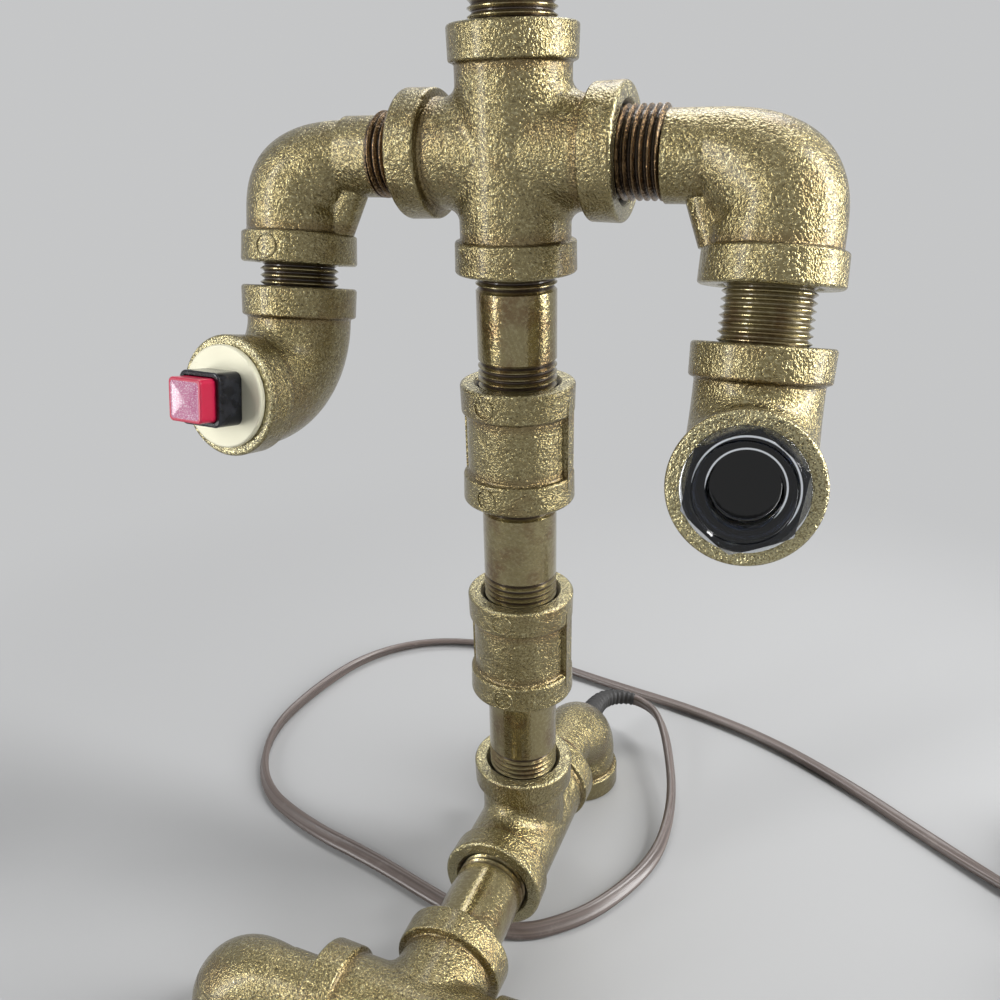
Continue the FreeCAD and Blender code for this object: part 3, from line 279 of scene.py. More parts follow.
# The brown gold is a random brown tone, and also painted shade in the creases behind the bands.
BROWN_GOLD_TONE_AND_CREASE_SHADE = rgb(0.18, 0.12, 0.052)
# The thread's brown is the raw thread's own colour; the dark is painted shade in its grooves.
THREAD_GROOVE_SHADE = rgb(0.05, 0.032, 0.018)
THREAD_BROWN = rgb(0.20, 0.13, 0.065)
# Bores and the inner part of their mouths: near-black, partly the raw inside of the fittings and
# partly painted shade.
BORE_RAW_AND_SHADE = rgb(0.010, 0.008, 0.006)

# The sand's marks: the size of each in millimetres, and how deep they are.
GRAIN_MM = 0.36
PEBBLE_MM = 0.68
WAVE_MM = 6.5
BLOTCH_MM = 16.0
RELIEF_DEPTH = 0.54
WAVE_DEPTH = 1.0
# How high the relief is where the gold turns from painted shade in the grain's pits to plain
# gold, and from plain gold to a painted highlight on its crests.
PIT_SHADE_TO_GOLD = (0.27, 0.45)
GOLD_TO_CREST_HIGHLIGHT = (0.46, 0.82)
# Where the noise turns into brown blotches and into wear on the mouths' faces, and how strongly
# each shows, as does the brown painted shade in the creases behind the bands.
BROWN_BLOTCHES = (0.52, 0.70)
WORN_GRAIN = (0.40, 0.55)
BLOTCH_SHARE = 0.5
WORN_SHARE = 0.8
CREASE_SHADE_SHARE = 0.55

# Where a casting changes along a mouth, in millimetres: its bore from the casting's centre, its
# wear from the mouth's face, and the painted shade in its crease from the band's foot.
MOUTH_DEPTH = (0.5, 2.0)
MOUTH_FACE = (-0.5, -0.2)
CREASE_SHADE_START = (-4.0, -0.9)
CREASE_SHADE_END = (-0.7, 0.2)
# The same across the mouth, from its axis.
MOUTH_R = (10.75, 11.9)
CREASE_SHADE_R = (12.0, 13.0)
# A male end: its thread from its face, its bore from the casting's centre, and then the thread's
# grooves, which take painted shade, and the bore from its axis.
THREAD_START = (-3.6, -2.4)
MALE_BORE_DEPTH = (12.0, 13.0)
THREAD_GROOVE_R = (9.7, 10.4)
MALE_BORE_R = (7.3, 8.0)


def cast_gold(name, casting, shift):
    """Gold paint over a sand casting: wrinkled grain with painted shade in its pits and a
    painted highlight on its crests, painted shade in the creases behind the bands and in the
    male thread's grooves, and near-black bores that are partly raw metal and partly painted
    shade.
    """
    centre, reach, mouths, male = casting
    face_at = reach / MM
    band_at = face_at - BAND_HEIGHT / MM
    finish = Finish(name)
    own = finish.vector("ADD", finish.spot(), shift)
    grain = finish.noise(GRAIN_MM, 1.0, 0.5, own, 0.3)
    pebble = finish.noise(PEBBLE_MM, 1.0, 0.5, own, 0.3)
    wave = finish.noise(WAVE_MM, 2.0, 0.5, own)
    blotch = finish.noise(BLOTCH_MM, 3.0, 0.6, own)
    relief = grain * 0.3 + pebble * 0.7
    # Painted shade in the grain's pits and a painted highlight on its crests, both following the
    # relief.
    shade = finish.mix(relief.rise(*PIT_SHADE_TO_GOLD), GOLD_PIT_SHADE, GOLD)
    shade = finish.mix(relief.rise(*GOLD_TO_CREST_HIGHLIGHT), shade, PALE_GOLD_WEAR_AND_HIGHLIGHT)
    shade = finish.mix(blotch.rise(*BROWN_BLOTCHES) * BLOTCH_SHARE, shade, BROWN_GOLD_TONE_AND_CREASE_SHADE)
    bore, crease_shade = 0.0, 0.0
    for mouth in mouths:
        ahead = finish.along(centre, mouth)
        away = finish.aside(centre, mouth)
        bore = (ahead.rise(*MOUTH_DEPTH) * away.fall(*MOUTH_R)).larger(bore)
        worn = ahead.rise(*MOUTH_FACE, face_at) * grain.rise(*WORN_GRAIN)
        shade = finish.mix(worn * WORN_SHARE, shade, PALE_GOLD_WEAR_AND_HIGHLIGHT)
        # Painted shade browns the crease where the band meets the body.
        valley = ahead.rise(*CREASE_SHADE_START, band_at) * (1 - ahead.rise(*CREASE_SHADE_END, band_at))
        crease_shade = (valley * away.rise(*CREASE_SHADE_R)).larger(crease_shade)
    shade = finish.mix(crease_shade * CREASE_SHADE_SHARE, shade, BROWN_GOLD_TONE_AND_CREASE_SHADE)
    if male:
        ahead = finish.along(centre, male)
        away = finish.aside(centre, male)
        threaded = ahead.rise(*THREAD_START, face_at)
        shade = finish.mix(threaded, shade, THREAD_BROWN)
        # Painted shade darkens the male thread's grooves.
        shade = finish.mix(threaded * away.fall(*THREAD_GROOVE_R), shade, THREAD_GROOVE_SHADE)
        bore = (ahead.rise(*MALE_BORE_DEPTH) * away.fall(*MALE_BORE_R)).larger(bore)
    # The bores and the inner edge of each mouth go near-black: raw metal inside, painted shade
    # in the mouth.
    shade = finish.mix(bore, shade, BORE_RAW_AND_SHADE)
    return finish.put(
        Base_Color=shade,
        Metallic=0.9 - bore * 0.85,
        Roughness=0.27 - relief * 0.1 + bore * 0.4,
        Coat_Weight=0.35,
        Coat_Roughness=0.25,
        Normal=finish.bump(relief, RELIEF_DEPTH, finish.bump(wave, WAVE_DEPTH)),
    )


PIPE_PEBBLE_MM = 0.9
PIPE_BROAD_MM = 8.0
PIPE_DEPTH = 0.15
PIPE_GROOVE_R = (9.7, 10.35)
PIPE_BORE_R = (8.2, 9.0)


def pipe_gold(name, centre, axis, shift, groove_shade):
    """Gold paint over smooth pipe: satin, lightly pebbled, with a painted highlight on the
    pebbles' crests, painted shade in the threads' grooves and a near-black bore of raw metal and
    painted shade.
    """
    finish = Finish(name)
    own = finish.vector("ADD", finish.spot(), shift)
    pebble = finish.noise(PIPE_PEBBLE_MM, 2.5, 0.55, own)
    broad = finish.noise(PIPE_BROAD_MM, 2.0, 0.5, own)
    away = finish.aside(centre, axis)
    groove = away.fall(*PIPE_GROOVE_R)
    shade = finish.mix(broad.rise(0.30, 0.55), BROWN_GOLD_TONE_AND_CREASE_SHADE, GOLD)
    # A painted highlight lightens the pebbles' crests.
    shade = finish.mix(pebble.rise(0.42, 0.72) * 0.3, shade, PALE_GOLD_WEAR_AND_HIGHLIGHT)
    # Painted shade darkens the threads' grooves.
    shade = finish.mix(groove * groove_shade, shade, THREAD_GROOVE_SHADE)
    # The pipe's bore goes near-black: raw metal and painted shade.
    shade = finish.mix(away.fall(*PIPE_BORE_R), shade, BORE_RAW_AND_SHADE)
    return finish.put(
        Base_Color=shade,
        Metallic=0.9 - groove * 0.5,
        Roughness=0.2 + groove * 0.25,
        Coat_Weight=0.6,
        Coat_Roughness=0.12,
        Normal=finish.bump(pebble + broad * 0.5, PIPE_DEPTH),
    )


# ------------------------------------------------------- plastics, metals, glass
# Where the noise turns into specks and into haze. The haze is this many times
# as large as the specks.
SPECK_EDGE = (0.70, 0.76)
HAZE_EDGE = (0.35, 0.75)
HAZE_SIZE = 8
HAZE_SHARE = 0.12


def speckled(name, color, speck, size_mm, share, depth_mm, sockets):
    """One colour with fine specks of another, lightly dimpled."""
    finish = Finish(name)
    fleck = finish.noise(size_mm, 3.0, 0.6)
    haze = finish.noise(size_mm * HAZE_SIZE, 2.0)
    shade = finish.mix(fleck.rise(*SPECK_EDGE, -share), color, speck)
    shade = finish.mix(haze.rise(*HAZE_EDGE) * HAZE_SHARE, shade, speck)
    return finish.put(Base_Color=shade, Normal=finish.bump(fleck, depth_mm), **sockets)


# The clear plug: heights in millimetres above the hand's mouth. The two edges
# are counted from its top and from the step inside its well.
SIGHT_TOP = 6.2
SIGHT_STEP = SIGHT_TOP - 1.4
SIGHT_SIDES = (1.65, 1.8)
SIGHT_FOOT = (1.9, 2.0)
SIGHT_LIP = (1.0, 1.15)
SIGHT_TOP_EDGE = (-0.6, -0.4)
SIGHT_STEP_EDGE = (-0.5, -0.4)
# Radii in millimetres: the well, the two rings of painted highlight, the foot and the lip, whose
# edges take painted highlights too.
WELL_R = (7.65, 7.75)
INNER_RING_R = (8.05, 8.15)
OUTER_RING_START_R = (10.2, 10.35)
OUTER_RING_END_R = (10.65, 10.75)
FOOT_R = (10.9, 11.0)
LIP_R = (12.95, 13.05)
# How strongly the painted highlight shows on the lip and on the foot.
LIP_HIGHLIGHT_SHARE = 0.8
FOOT_HIGHLIGHT_SHARE = 0.6
SIGHT_HAZE_MM = 1.4
# Painted shade of the dark bore seen through the plastic: dark blue on the hexagon's sides,
# near-black in the well; the pale rings are painted highlights.
SIGHT_CLEAR = rgb(0.97, 0.98, 1.0)
SIGHT_BLUE_SHADE = rgb(0.013, 0.020, 0.048)
SIGHT_WELL_SHADE = rgb(0.002, 0.002, 0.003)
SIGHT_RING_HIGHLIGHT = rgb(0.86, 0.89, 0.93)


def clear_hexagon(name):
    """Clear plastic, painted dark blue on the hexagon's sides and near-black in its well as
    painted shade of the bore behind it, with painted highlights on its edges.
    """
    finish = Finish(name)
    proud = finish.along(RIGHT_HAND, RIGHT_OUT) - BULKY_REACH / MM
    away = finish.aside(RIGHT_HAND, RIGHT_OUT)
    sides = proud.rise(*SIGHT_SIDES)
    # Painted shade: dark blue on the hexagon's sides and near-black in the well.
    shade = finish.mix(sides, SIGHT_CLEAR, SIGHT_BLUE_SHADE)
    shade = finish.mix(away.fall(*WELL_R), shade, SIGHT_WELL_SHADE)
    # Painted highlights on the rings at the edges of the top, the step, the lip and the foot.
    outer = away.rise(*OUTER_RING_START_R) * away.fall(*OUTER_RING_END_R)
    outer = outer * proud.rise(*SIGHT_TOP_EDGE, SIGHT_TOP)
    inner = away.rise(*WELL_R) * away.fall(*INNER_RING_R)
    inner = inner * proud.rise(*SIGHT_STEP_EDGE, SIGHT_STEP)
    lip = away.rise(*LIP_R) * proud.rise(*SIGHT_LIP) * LIP_HIGHLIGHT_SHARE
    foot = away.rise(*FOOT_R) * sides * proud.fall(*SIGHT_FOOT) * FOOT_HIGHLIGHT_SHARE
    ring_highlight = outer.larger(inner).larger(lip).larger(foot)
    shade = finish.mix(ring_highlight, shade, SIGHT_RING_HIGHLIGHT)
    haze = finish.noise(SIGHT_HAZE_MM, 2.0)
    return finish.put(
        Base_Color=shade,
        Metallic=ring_highlight * 0.9,
        Normal=finish.bump(haze, 0.02),
        Roughness=0.05 + ring_highlight * 0.25,
        Transmission_Weight=1.0,
        IOR=1.49,
        Specular_IOR_Level=0.35,
    )


CORD_BROWN = rgb(0.075, 0.055, 0.047)
CORD_PALE = rgb(0.15, 0.118, 0.105)
CORD_SCUFF = rgb(0.21, 0.18, 0.165)
# How far the map is stretched round and along the cord, to draw out the streaks,
# and the size that gives one noise cell for each unit of the stretched map.
STREAKS_ROUND = 16.0
STREAKS_ALONG = 25.0
STREAK_MM = 1 / MM
SCUFF_MM = 5.0


def ribbed_cord(name):
    """Soft plastic cord: streaks and scuffs drawn out along its length."""
    finish = Finish(name)
    uv = finish.node("TexCoord", {}, {}, "UV")
    drawn = finish.vector("MULTIPLY", uv, (STREAKS_ROUND, STREAKS_ALONG, 1.0))
    streak = finish.noise(STREAK_MM, 3.0, 0.6, drawn)
    scuff = finish.noise(SCUFF_MM, 3.0, 0.6)
    shade = finish.mix(streak.rise(0.3, 0.7), CORD_BROWN, CORD_PALE)
    shade = finish.mix(scuff.rise(0.55, 0.75) * 0.35, shade, CORD_SCUFF)
    return finish.put(
        Base_Color=shade,
        Normal=finish.bump(streak, 0.12),
        Roughness=0.3 + scuff * 0.2,
        Coat_Weight=0.3,
        Coat_Roughness=0.2,
    )


# Every speckled finish: its colour, its specks' colour, their size in
# millimetres, their extra share, their depth and the shader's own values.
SPECKLED = {
    "satin_brass": (
        rgb(0.80, 0.775, 0.60), rgb(0.62, 0.59, 0.42), 0.8, 0.02, 0.02,
        {"Metallic": 0.25, "Roughness": 0.5},
    ),
    "black_plastic": (
        rgb(0.006, 0.007, 0.011), rgb(0.16, 0.17, 0.21), 0.34, -0.01, 0.02,
        {"Roughness": 0.16, "Specular_IOR_Level": 0.4},
    ),
    "bright_steel": (
        rgb(0.62, 0.62, 0.62), rgb(0.45, 0.45, 0.46), 0.6, 0.04, 0.01,
        {"Metallic": 1.0, "Roughness": 0.3},
    ),
    "contact_brass": (
        rgb(0.75, 0.58, 0.28), rgb(0.55, 0.40, 0.18), 0.8, 0.05, 0.01,
        {"Metallic": 1.0, "Roughness": 0.3},
    ),
    "red_plastic": (
        rgb(0.60, 0.010, 0.062), rgb(0.75, 0.10, 0.16), 0.5, -0.02, 0.01,
        {"Roughness": 0.28, "Coat_Weight": 0.4, "Coat_Roughness": 0.12},
    ),
    "pink_lens": (
        rgb(0.50, 0.12, 0.26), rgb(0.84, 0.66, 0.78), 0.30, 0.14, 0.01,
        {"Roughness": 0.26, "Coat_Weight": 0.5, "Coat_Roughness": 0.14},
    ),
    "black_phenolic": (
        rgb(0.015, 0.014, 0.013), rgb(0.05, 0.045, 0.04), 1.2, 0.06, 0.02,
        {"Roughness": 0.32},
    ),
    "cap_metal": (
        rgb(0.75, 0.70, 0.60), rgb(0.55, 0.50, 0.42), 1.5, 0.06, 0.02,
        {"Metallic": 1.0, "Roughness": 0.25},
    ),
    "clear_glass": (
        rgb(1.0, 0.965, 0.89), rgb(0.95, 0.90, 0.80), 6.0, 0.05, 0.01,
        {"Roughness": 0.02, "Transmission_Weight": 1.0, "IOR": 1.45},
    ),
    "filament_metal": (
        rgb(0.20, 0.17, 0.15), rgb(0.10, 0.08, 0.07), 0.8, 0.1, 0.01,
        {"Metallic": 1.0, "Roughness": 0.5},
    ),
    "black_rubber": (
        rgb(0.022, 0.021, 0.021), rgb(0.05, 0.048, 0.046), 0.7, 0.06, 0.04,
        {"Roughness": 0.6},
    ),
}


def make_finishes():
    made = {}
    for name, (color, speck, size_mm, share, depth_mm, sockets) in SPECKLED.items():
        made[name] = speckled(name, color, speck, size_mm, share, depth_mm, sockets)
    made["clear_plastic"] = clear_hexagon("clear_plastic")
    made["brown_cord"] = ribbed_cord("brown_cord")
    return made


# ------------------------------------------------------- how pieces are made
def deselect():
    bpy.ops.object.select_all(action="DESELECT")


def pick(piece):
    """Select one piece alone, for the operators to act on."""
    deselect()
    piece.select_set(True)
    bpy.context.view_layer.objects.active = piece


def settle(piece, smooth_angle):
    """Outward faces and smooth shading for a finished piece."""
    pick(piece)
    bpy.ops.object.mode_set(mode="EDIT")
    bpy.ops.mesh.select_all(action="SELECT")
    bpy.ops.mesh.normals_make_consistent(inside=False)
    bpy.ops.object.mode_set(mode="OBJECT")
    bpy.ops.object.shade_smooth_by_angle(angle=math.radians(smooth_angle))
    piece.select_set(False)


def start_block(name, block_size):
    """A cube stretched to a size about the origin, ready to be shaped."""
    deselect()
    bpy.ops.mesh.primitive_cube_add(size=1)
    block = bpy.context.object
    block.name = name
    block.scale = block_size
    bpy.ops.object.transform_apply(location=True, rotation=True, scale=True)
    return block


def choose(piece, kind, wanted):
    """Select only the faces or edges that a test wants, in edit mode."""
    bpy.ops.mesh.select_mode(type=kind)
    bpy.ops.mesh.select_all(action="DESELECT")
    bpy.ops.object.mode_set(mode="OBJECT")
    items = {"FACE": piece.data.polygons, "EDGE": piece.data.edges}[kind]
    for item in items:
        item.select = bool(wanted(item))
    bpy.ops.object.mode_set(mode="EDIT")


def span(piece, edge, axis):
    """How far an edge reaches along the axis x, y or z."""
    start, end = (getattr(piece.data.vertices[at].co, axis) for at in edge.vertices)
    return abs(start - end)


def stand_on(piece, place, right, up):
    """Lay a piece drawn about the origin at a place, its top facing right x up."""
    facing = right.cross(up).normalized()
    turn = Matrix((right.normalized(), up.normalized(), facing)).transposed().to_4x4()
    piece.matrix_world = Matrix.Translation(place) @ turn
    pick(piece)
    bpy.ops.object.transform_apply(location=True, rotation=True, scale=True)
    piece.select_set(False)


def around(degrees):
    return Vector((math.cos(math.radians(degrees)), math.sin(math.radians(degrees)), 0))


# ---------------------------------------------------------------- cord
# Sizes of the cord in millimetres, and of its section's steps in degrees.
CORD_WIDTH = 5.6
CORD_THICKNESS = 2.8
CORD_SMOOTH = 50
CORD_RIB_DEPTH = 0.07
LOBE_SIDES = 13
LOBE_START = -120
LOBE_STEP = 20
FLOOR = None
FLOOR_ROOM = 0.03
# Points of the free cord about the column's axis, and how far its flat side
# is rolled there, in degrees. Points without a height lie on the floor.
ROUTE = [
    ((0.0, 76.8, 19.0), 90),
    ((0.0, 86.5, 19.0), 90),
    ((6.0, 94.4, 18.3), 80),
    ((15.7, 96.8, 17.0), 70),
    ((24.8, 92.8, 15.5), 65),
    ((30.6, 82.6, 13.7), 65),
    ((35.2, 70.5, 11.2), 70),
    ((39.4, 57.0, 8.2), 75),
    ((41.2, 43.0, 4.9), 70),
    ((40.5, 27.0, 2.7), 60),
    ((34.0, 9.0, FLOOR), 50),
    ((22.5, -9.5, FLOOR), 40),
    ((3.0, -24.0, FLOOR), 30),
    ((-23.0, -18.8, FLOOR), 20),
    ((-54.0, -10.8, FLOOR), 30),
    ((-87.0, -5.5, FLOOR), 50),
    ((-117.0, 6.5, FLOOR), 70),
    ((-134.5, 37.0, FLOOR), 80),
    ((-133.0, 72.0, FLOOR), 80),
    ((-124.0, 106.0, FLOOR), 60),
    ((-100.0, 130.0, FLOOR), 40),
    ((-64.0, 139.0, FLOOR), 30),
    ((-31.0, 130.0, FLOOR), 20),
    ((2.0, 124.0, FLOOR), 10),
    ((38.0, 118.5, FLOOR), 10),
    ((72.0, 108.5, FLOOR), 10),
    ((103.0, 92.0, FLOOR), 0),
    ((130.0, 73.5, FLOOR), 0),
    ((155.0, 57.0, FLOOR), 20),
]
# The coil: its middle, its points for each turn, and in degrees where its first
# turn starts and how far its flat side is rolled.
COIL_CENTRE = (205.0, 70.0)
COIL_STEPS = 14
COIL_START = 217.7
COIL_ROLL = 90
# The coil's turns: after how many turns, at what radius and height.
COIL_TURNS = [
    (0.0, 38.5, 2.82),
    (0.9, 38.5, 2.82),
    (1.05, 32.3, 2.82),
    (1.9, 32.3, 2.82),
    (2.05, 26.1, 2.82),
    (2.4, 26.1, 2.82),
    (2.6, 26.1, 8.45),
    (2.95, 26.1, 8.45),
    (3.1, 32.3, 8.45),
    (3.95, 32.3, 8.45),
    (4.1, 38.5, 8.45),
    (5.0, 38.5, 8.45),
]
# After how many turns it ends.
COIL_END = 4.93
# The way from the coil into the plug.
TAIL = [
    (168.0, 54.0, 8.4),
    (173.5, 45.5, 8.2),
    (180.3, 40.0, 7.2),
    (183.0, 33.0, 6.5),
    (183.0, 24.0, 6.5),
]
TAIL_ROLL = 60


def in_part(point, roll):
    """From millimetres about the column's axis; floor points get their height."""
    x, y, z = point
    if z is FLOOR:
        lobe = CORD_THICKNESS / 2
        z = lobe + (CORD_WIDTH / 2 - lobe) * math.sin(math.radians(roll)) + FLOOR_ROOM
    return COLUMN + Vector((x, y, z)) * MM


def between(rows, at):
    """Straight interpolation in rows of (station, values...)."""
    for low, high in zip(rows, rows[1:]):
        if at <= high[0]:
            share = (at - low[0]) / (high[0] - low[0])
            return [a + (b - a) * share for a, b in zip(low[1:], high[1:])]
    return list(rows[-1][1:])


def cord_points():
    """Control points of the whole cord with their rolls: route, coil and tail."""
    points = list(ROUTE)
    for step in range(int(COIL_END * COIL_STEPS) + 1):
        turns = step / COIL_STEPS
        radius, height = between(COIL_TURNS, turns)
        angle = math.radians(COIL_START + 360 * turns)
        x = COIL_CENTRE[0] + radius * math.cos(angle)
        y = COIL_CENTRE[1] + radius * math.sin(angle)
        points.append(((x, y, height), COIL_ROLL))
    points += [(point, TAIL_ROLL) for point in TAIL]
    return [(in_part(point, roll), roll) for point, roll in points]


def smooth_line(points):
    """Points read from the NURBS line that the control points shape."""
    data = bpy.data.curves.new("cord_line", "CURVE")
    data.dimensions = "3D"
    data.resolution_u = 8
    spline = data.splines.new("NURBS")
    spline.points.add(len(points) - 1)
    for made, point in zip(spline.points, points):
        made.co = (*point, 1.0)
    spline.order_u = 3
    spline.use_endpoint_u = True
    line = bpy.data.objects.new("cord_line", data)
    bpy.context.scene.collection.objects.link(line)
    mesh = bpy.data.meshes.new_from_object(line)
    found = [vertex.co.copy() for vertex in mesh.vertices]
    bpy.data.objects.remove(line)
    bpy.data.meshes.remove(mesh)
    return found


def cord_section():
    """Outline of the twin cord: two lobes, one of them finely ribbed."""
    outline = []
    lobe = CORD_THICKNESS / 2
    centre = CORD_WIDTH / 2 - lobe
    for side in (1, -1):
        for step in range(LOBE_SIDES):
            angle = math.radians(LOBE_START + LOBE_STEP * step)
            rib = CORD_RIB_DEPTH * (step % 2) if side > 0 else 0.0
            x = centre + (lobe - rib) * math.cos(angle)
            y = (lobe - rib) * math.sin(angle)
            outline.append((side * x, side * y))
    return outline


def cord_frames(control):
    """Along the cord: its point, its wide side, its thin side, and the length so far."""
    line = smooth_line([point for point, _ in control])
    rolls = [roll for _, roll in control]
    frames, length = [], 0.0
    for i, here in enumerate(line):
        ahead = (line[min(i + 1, len(line) - 1)] - line[max(i - 1, 0)]).normalized()
        level = ahead.cross(Z).normalized()
        up = level.cross(ahead)
        station = i / (len(line) - 1) * (len(control) - 1)
        first = min(int(station), len(control) - 2)
        roll = math.radians(rolls[first] + (rolls[first + 1] - rolls[first]) * (station - first))
        wide = level * math.cos(roll) + up * math.sin(roll)
        thin = up * math.cos(roll) - level * math.sin(roll)
        if i:
            length += (here - line[i - 1]).length
        frames.append((here, wide, thin, length))
    return frames


def frame_at(frames, length):
    for low, high in zip(frames, frames[1:]):
        if length <= high[3]:
            share = (length - low[3]) / (high[3] - low[3])
            return [a.lerp(b, share) for a, b in zip(low[:3], high[:3])]
    return list(frames[-1][:3])


# How far the map moves on from one ring of the cord to the next.
MAP_PER_RING = 0.002


def skin(name, rings):
    """Closed mesh through rings of points, with a map that runs round and along it."""
    count = len(rings[0])
    verts = [point for ring in rings for point in ring]
    faces = []
    for i in range(len(rings) - 1):
        for j in range(count):
            k = (j + 1) % count
            here, ahead = i * count, (i + 1) * count
            faces.append((here + j, here + k, ahead + k, ahead + j))
    faces.append(tuple(range(count)))
    faces.append(tuple(reversed(range(len(verts) - count, len(verts)))))
    mesh = bpy.data.meshes.new(name)
    mesh.from_pydata(verts, [], faces)
    uv = mesh.uv_layers.new(name="along")
    for face in mesh.polygons:
        for loop in face.loop_indices:
            ring, step = divmod(mesh.loops[loop].vertex_index, count)
            uv.data[loop].uv = (step / count, ring * MAP_PER_RING)
    piece = bpy.data.objects.new(name, mesh)
    bpy.context.scene.collection.objects.link(piece)
    settle(piece, CORD_SMOOTH)
    return piece


# The sleeves at the cord's two ends: how long they are, how wide and thick
# where they meet the elbow or the plug, and how wide and thick at the cord.
RELIEF_LENGTH = 27.0
RELIEF_BODY = (4.7, 4.7)
PLUG_RELIEF_LENGTH = 21.0
PLUG_RELIEF_BODY = (4.6, 4.0)
SLEEVE_SLIM = (3.15, 1.95)
SLEEVE_SIDES = 28
RIB_STEP = 0.55
RIB_DEPTH = 0.35
# How much of the cord lies inside the plug.
PLUG_INSIDE = 9.0


def make_sleeve(name, frames, start_mm, end_mm, body, finish):
    """Tapered, ribbed sleeve round the cord, from its body to its slim end."""
    rings = []
    steps = int(abs(end_mm - start_mm) / RIB_STEP)
    for step in range(steps + 1):
        share = step / steps
        here, wide, thin = frame_at(frames, (start_mm + (end_mm - start_mm) * share) * MM)
        half_wide = body[0] + (SLEEVE_SLIM[0] - body[0]) * share
        half_thin = body[1] + (SLEEVE_SLIM[1] - body[1]) * share
        ribbed = RIB_DEPTH if step % 4 in (1, 2) else 0
        ring = []
        for turn in range(SLEEVE_SIDES):
            angle = 2 * math.pi * turn / SLEEVE_SIDES
            across = wide * math.cos(angle) * (half_wide - ribbed)
            ring.append(here + (across + thin * math.sin(angle) * (half_thin - ribbed)) * MM)
        rings.append(ring)
    piece = skin(name, rings)
    piece.data.materials.append(finish)
    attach(piece, "stand")
    return piece


def make_cord(cord_finish, sleeve_finish):
    frames = cord_frames(cord_points())
    section = cord_section()
    rings = []
    for here, wide, thin, _ in frames:
        rings.append([here + (wide * x + thin * y) * MM for x, y in section])
    cord = skin("mains_cord", rings)
    cord.data.materials.append(cord_finish)
    plug_at = frames[-1][3] / MM - PLUG_INSIDE
    plug_end = plug_at - PLUG_RELIEF_LENGTH
    reliefs = [
        make_sleeve("cord_relief", frames, 0.0, RELIEF_LENGTH, RELIEF_BODY, sleeve_finish),
        make_sleeve("plug_relief", frames, plug_at, plug_end, PLUG_RELIEF_BODY, sleeve_finish),
    ]
    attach(cord, "stand")
    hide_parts("cord_run", "cord_coil")


# Where the strap stands round the coil, in degrees, and its sizes.
TIE_TURN = 25.0
TIE_WIDTH = 6.0 * MM
TIE_THICKNESS = 0.9 * MM
TIE_ROOM = 0.35 * MM
TIE_CORNER = 2.0 * MM
TIE_SOFT = 0.2 * MM


def make_tie(finish):
    """Flat strap round the coil's turns."""
    low_r = min(radius for _, radius, _ in COIL_TURNS)
    high_r = max(radius for _, radius, _ in COIL_TURNS)
    inner = (low_r - CORD_THICKNESS / 2) * MM - TIE_ROOM
    outer = (high_r + CORD_THICKNESS / 2) * MM + TIE_ROOM
    top = (COIL_TURNS[-1][2] + CORD_WIDTH / 2) * MM + TIE_ROOM
    tie = start_block("coil_tie", (outer - inner, TIE_WIDTH, top - TIE_THICKNESS))
    bpy.ops.object.mode_set(mode="EDIT")
    choose(tie, "FACE", lambda face: abs(face.normal.y) > 0.9)
    bpy.ops.mesh.delete(type="FACE")
    choose(tie, "EDGE", lambda edge: span(tie, edge, "y") > TIE_WIDTH / 2)
    bpy.ops.mesh.bevel(offset=TIE_CORNER, segments=6)
    bpy.ops.object.mode_set(mode="OBJECT")
    wall = tie.modifiers.new("wall", "SOLIDIFY")
    wall.thickness = TIE_THICKNESS
    wall.offset = 1
    soft = tie.modifiers.new("soft", "BEVEL")
    soft.width = TIE_SOFT
    soft.segments = 2
    for modifier in ("wall", "soft"):
        bpy.ops.object.modifier_apply(modifier=modifier)
    out = around(TIE_TURN)
    centre = COLUMN + Vector((*COIL_CENTRE, 0)) * MM
    place = centre + out * (inner + outer) / 2 + Z * (top + TIE_THICKNESS) / 2
    stand_on(tie, place, out, Z.cross(out))
    settle(tie, smooth_angle=40)
    tie.data.materials.append(finish)
    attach(tie, "stand")


GRIP_COUNT = 5
GRIP_STEP = 2.6 * MM
GRIP_SIZE = Vector((11.0, 1.2, 0.9)) * MM
GRIP_EDGE = 0.35 * MM
# How far the bars' middle lies from the plug's, towards the blades.
GRIP_AHEAD = 3 * MM
# How deep their middle lies in the plug, as a share of their height.
GRIP_SUNK_TOP = 0.12
GRIP_SUNK_BOTTOM = 0.45


def make_plug_grips(finish):
    """Raised grip bars on the broad sides of the plug."""
    low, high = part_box("plug_body")
    centre = (low + high) / 2
    first_y = centre.y - GRIP_STEP * (GRIP_COUNT - 1) / 2 - GRIP_AHEAD
    top = high.z - GRIP_SIZE.z * GRIP_SUNK_TOP
    bottom = low.z + GRIP_SIZE.z * GRIP_SUNK_BOTTOM
    for place, height in (("top", top), ("bottom", bottom)):
        bars = start_block(f"plug_grips_{place}", GRIP_SIZE)
        bpy.ops.object.mode_set(mode="EDIT")
        bpy.ops.mesh.select_all(action="SELECT")
        bpy.ops.mesh.bevel(offset=GRIP_EDGE, segments=3)
        bpy.ops.object.mode_set(mode="OBJECT")
        row = bars.modifiers.new("row", "ARRAY")
        row.count = GRIP_COUNT
        row.use_relative_offset = False
        row.use_constant_offset = True
        row.constant_offset_displace = (0, GRIP_STEP, 0)
        bpy.ops.object.modifier_apply(modifier="row")
        stand_on(bars, Vector((centre.x, first_y, height)), X, Y)
        settle(bars, smooth_angle=40)
        bars.data.materials.append(finish)
        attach(bars, "stand")


# ---------------------------------------------------------------- button and rings
LENS_WIDTH = 9.4 * MM
LENS_THICKNESS = 1.0 * MM
LENS_RIM = 0.45 * MM
LENS_DISH = 0.55 * MM
LENS_CORNER = 0.8 * MM


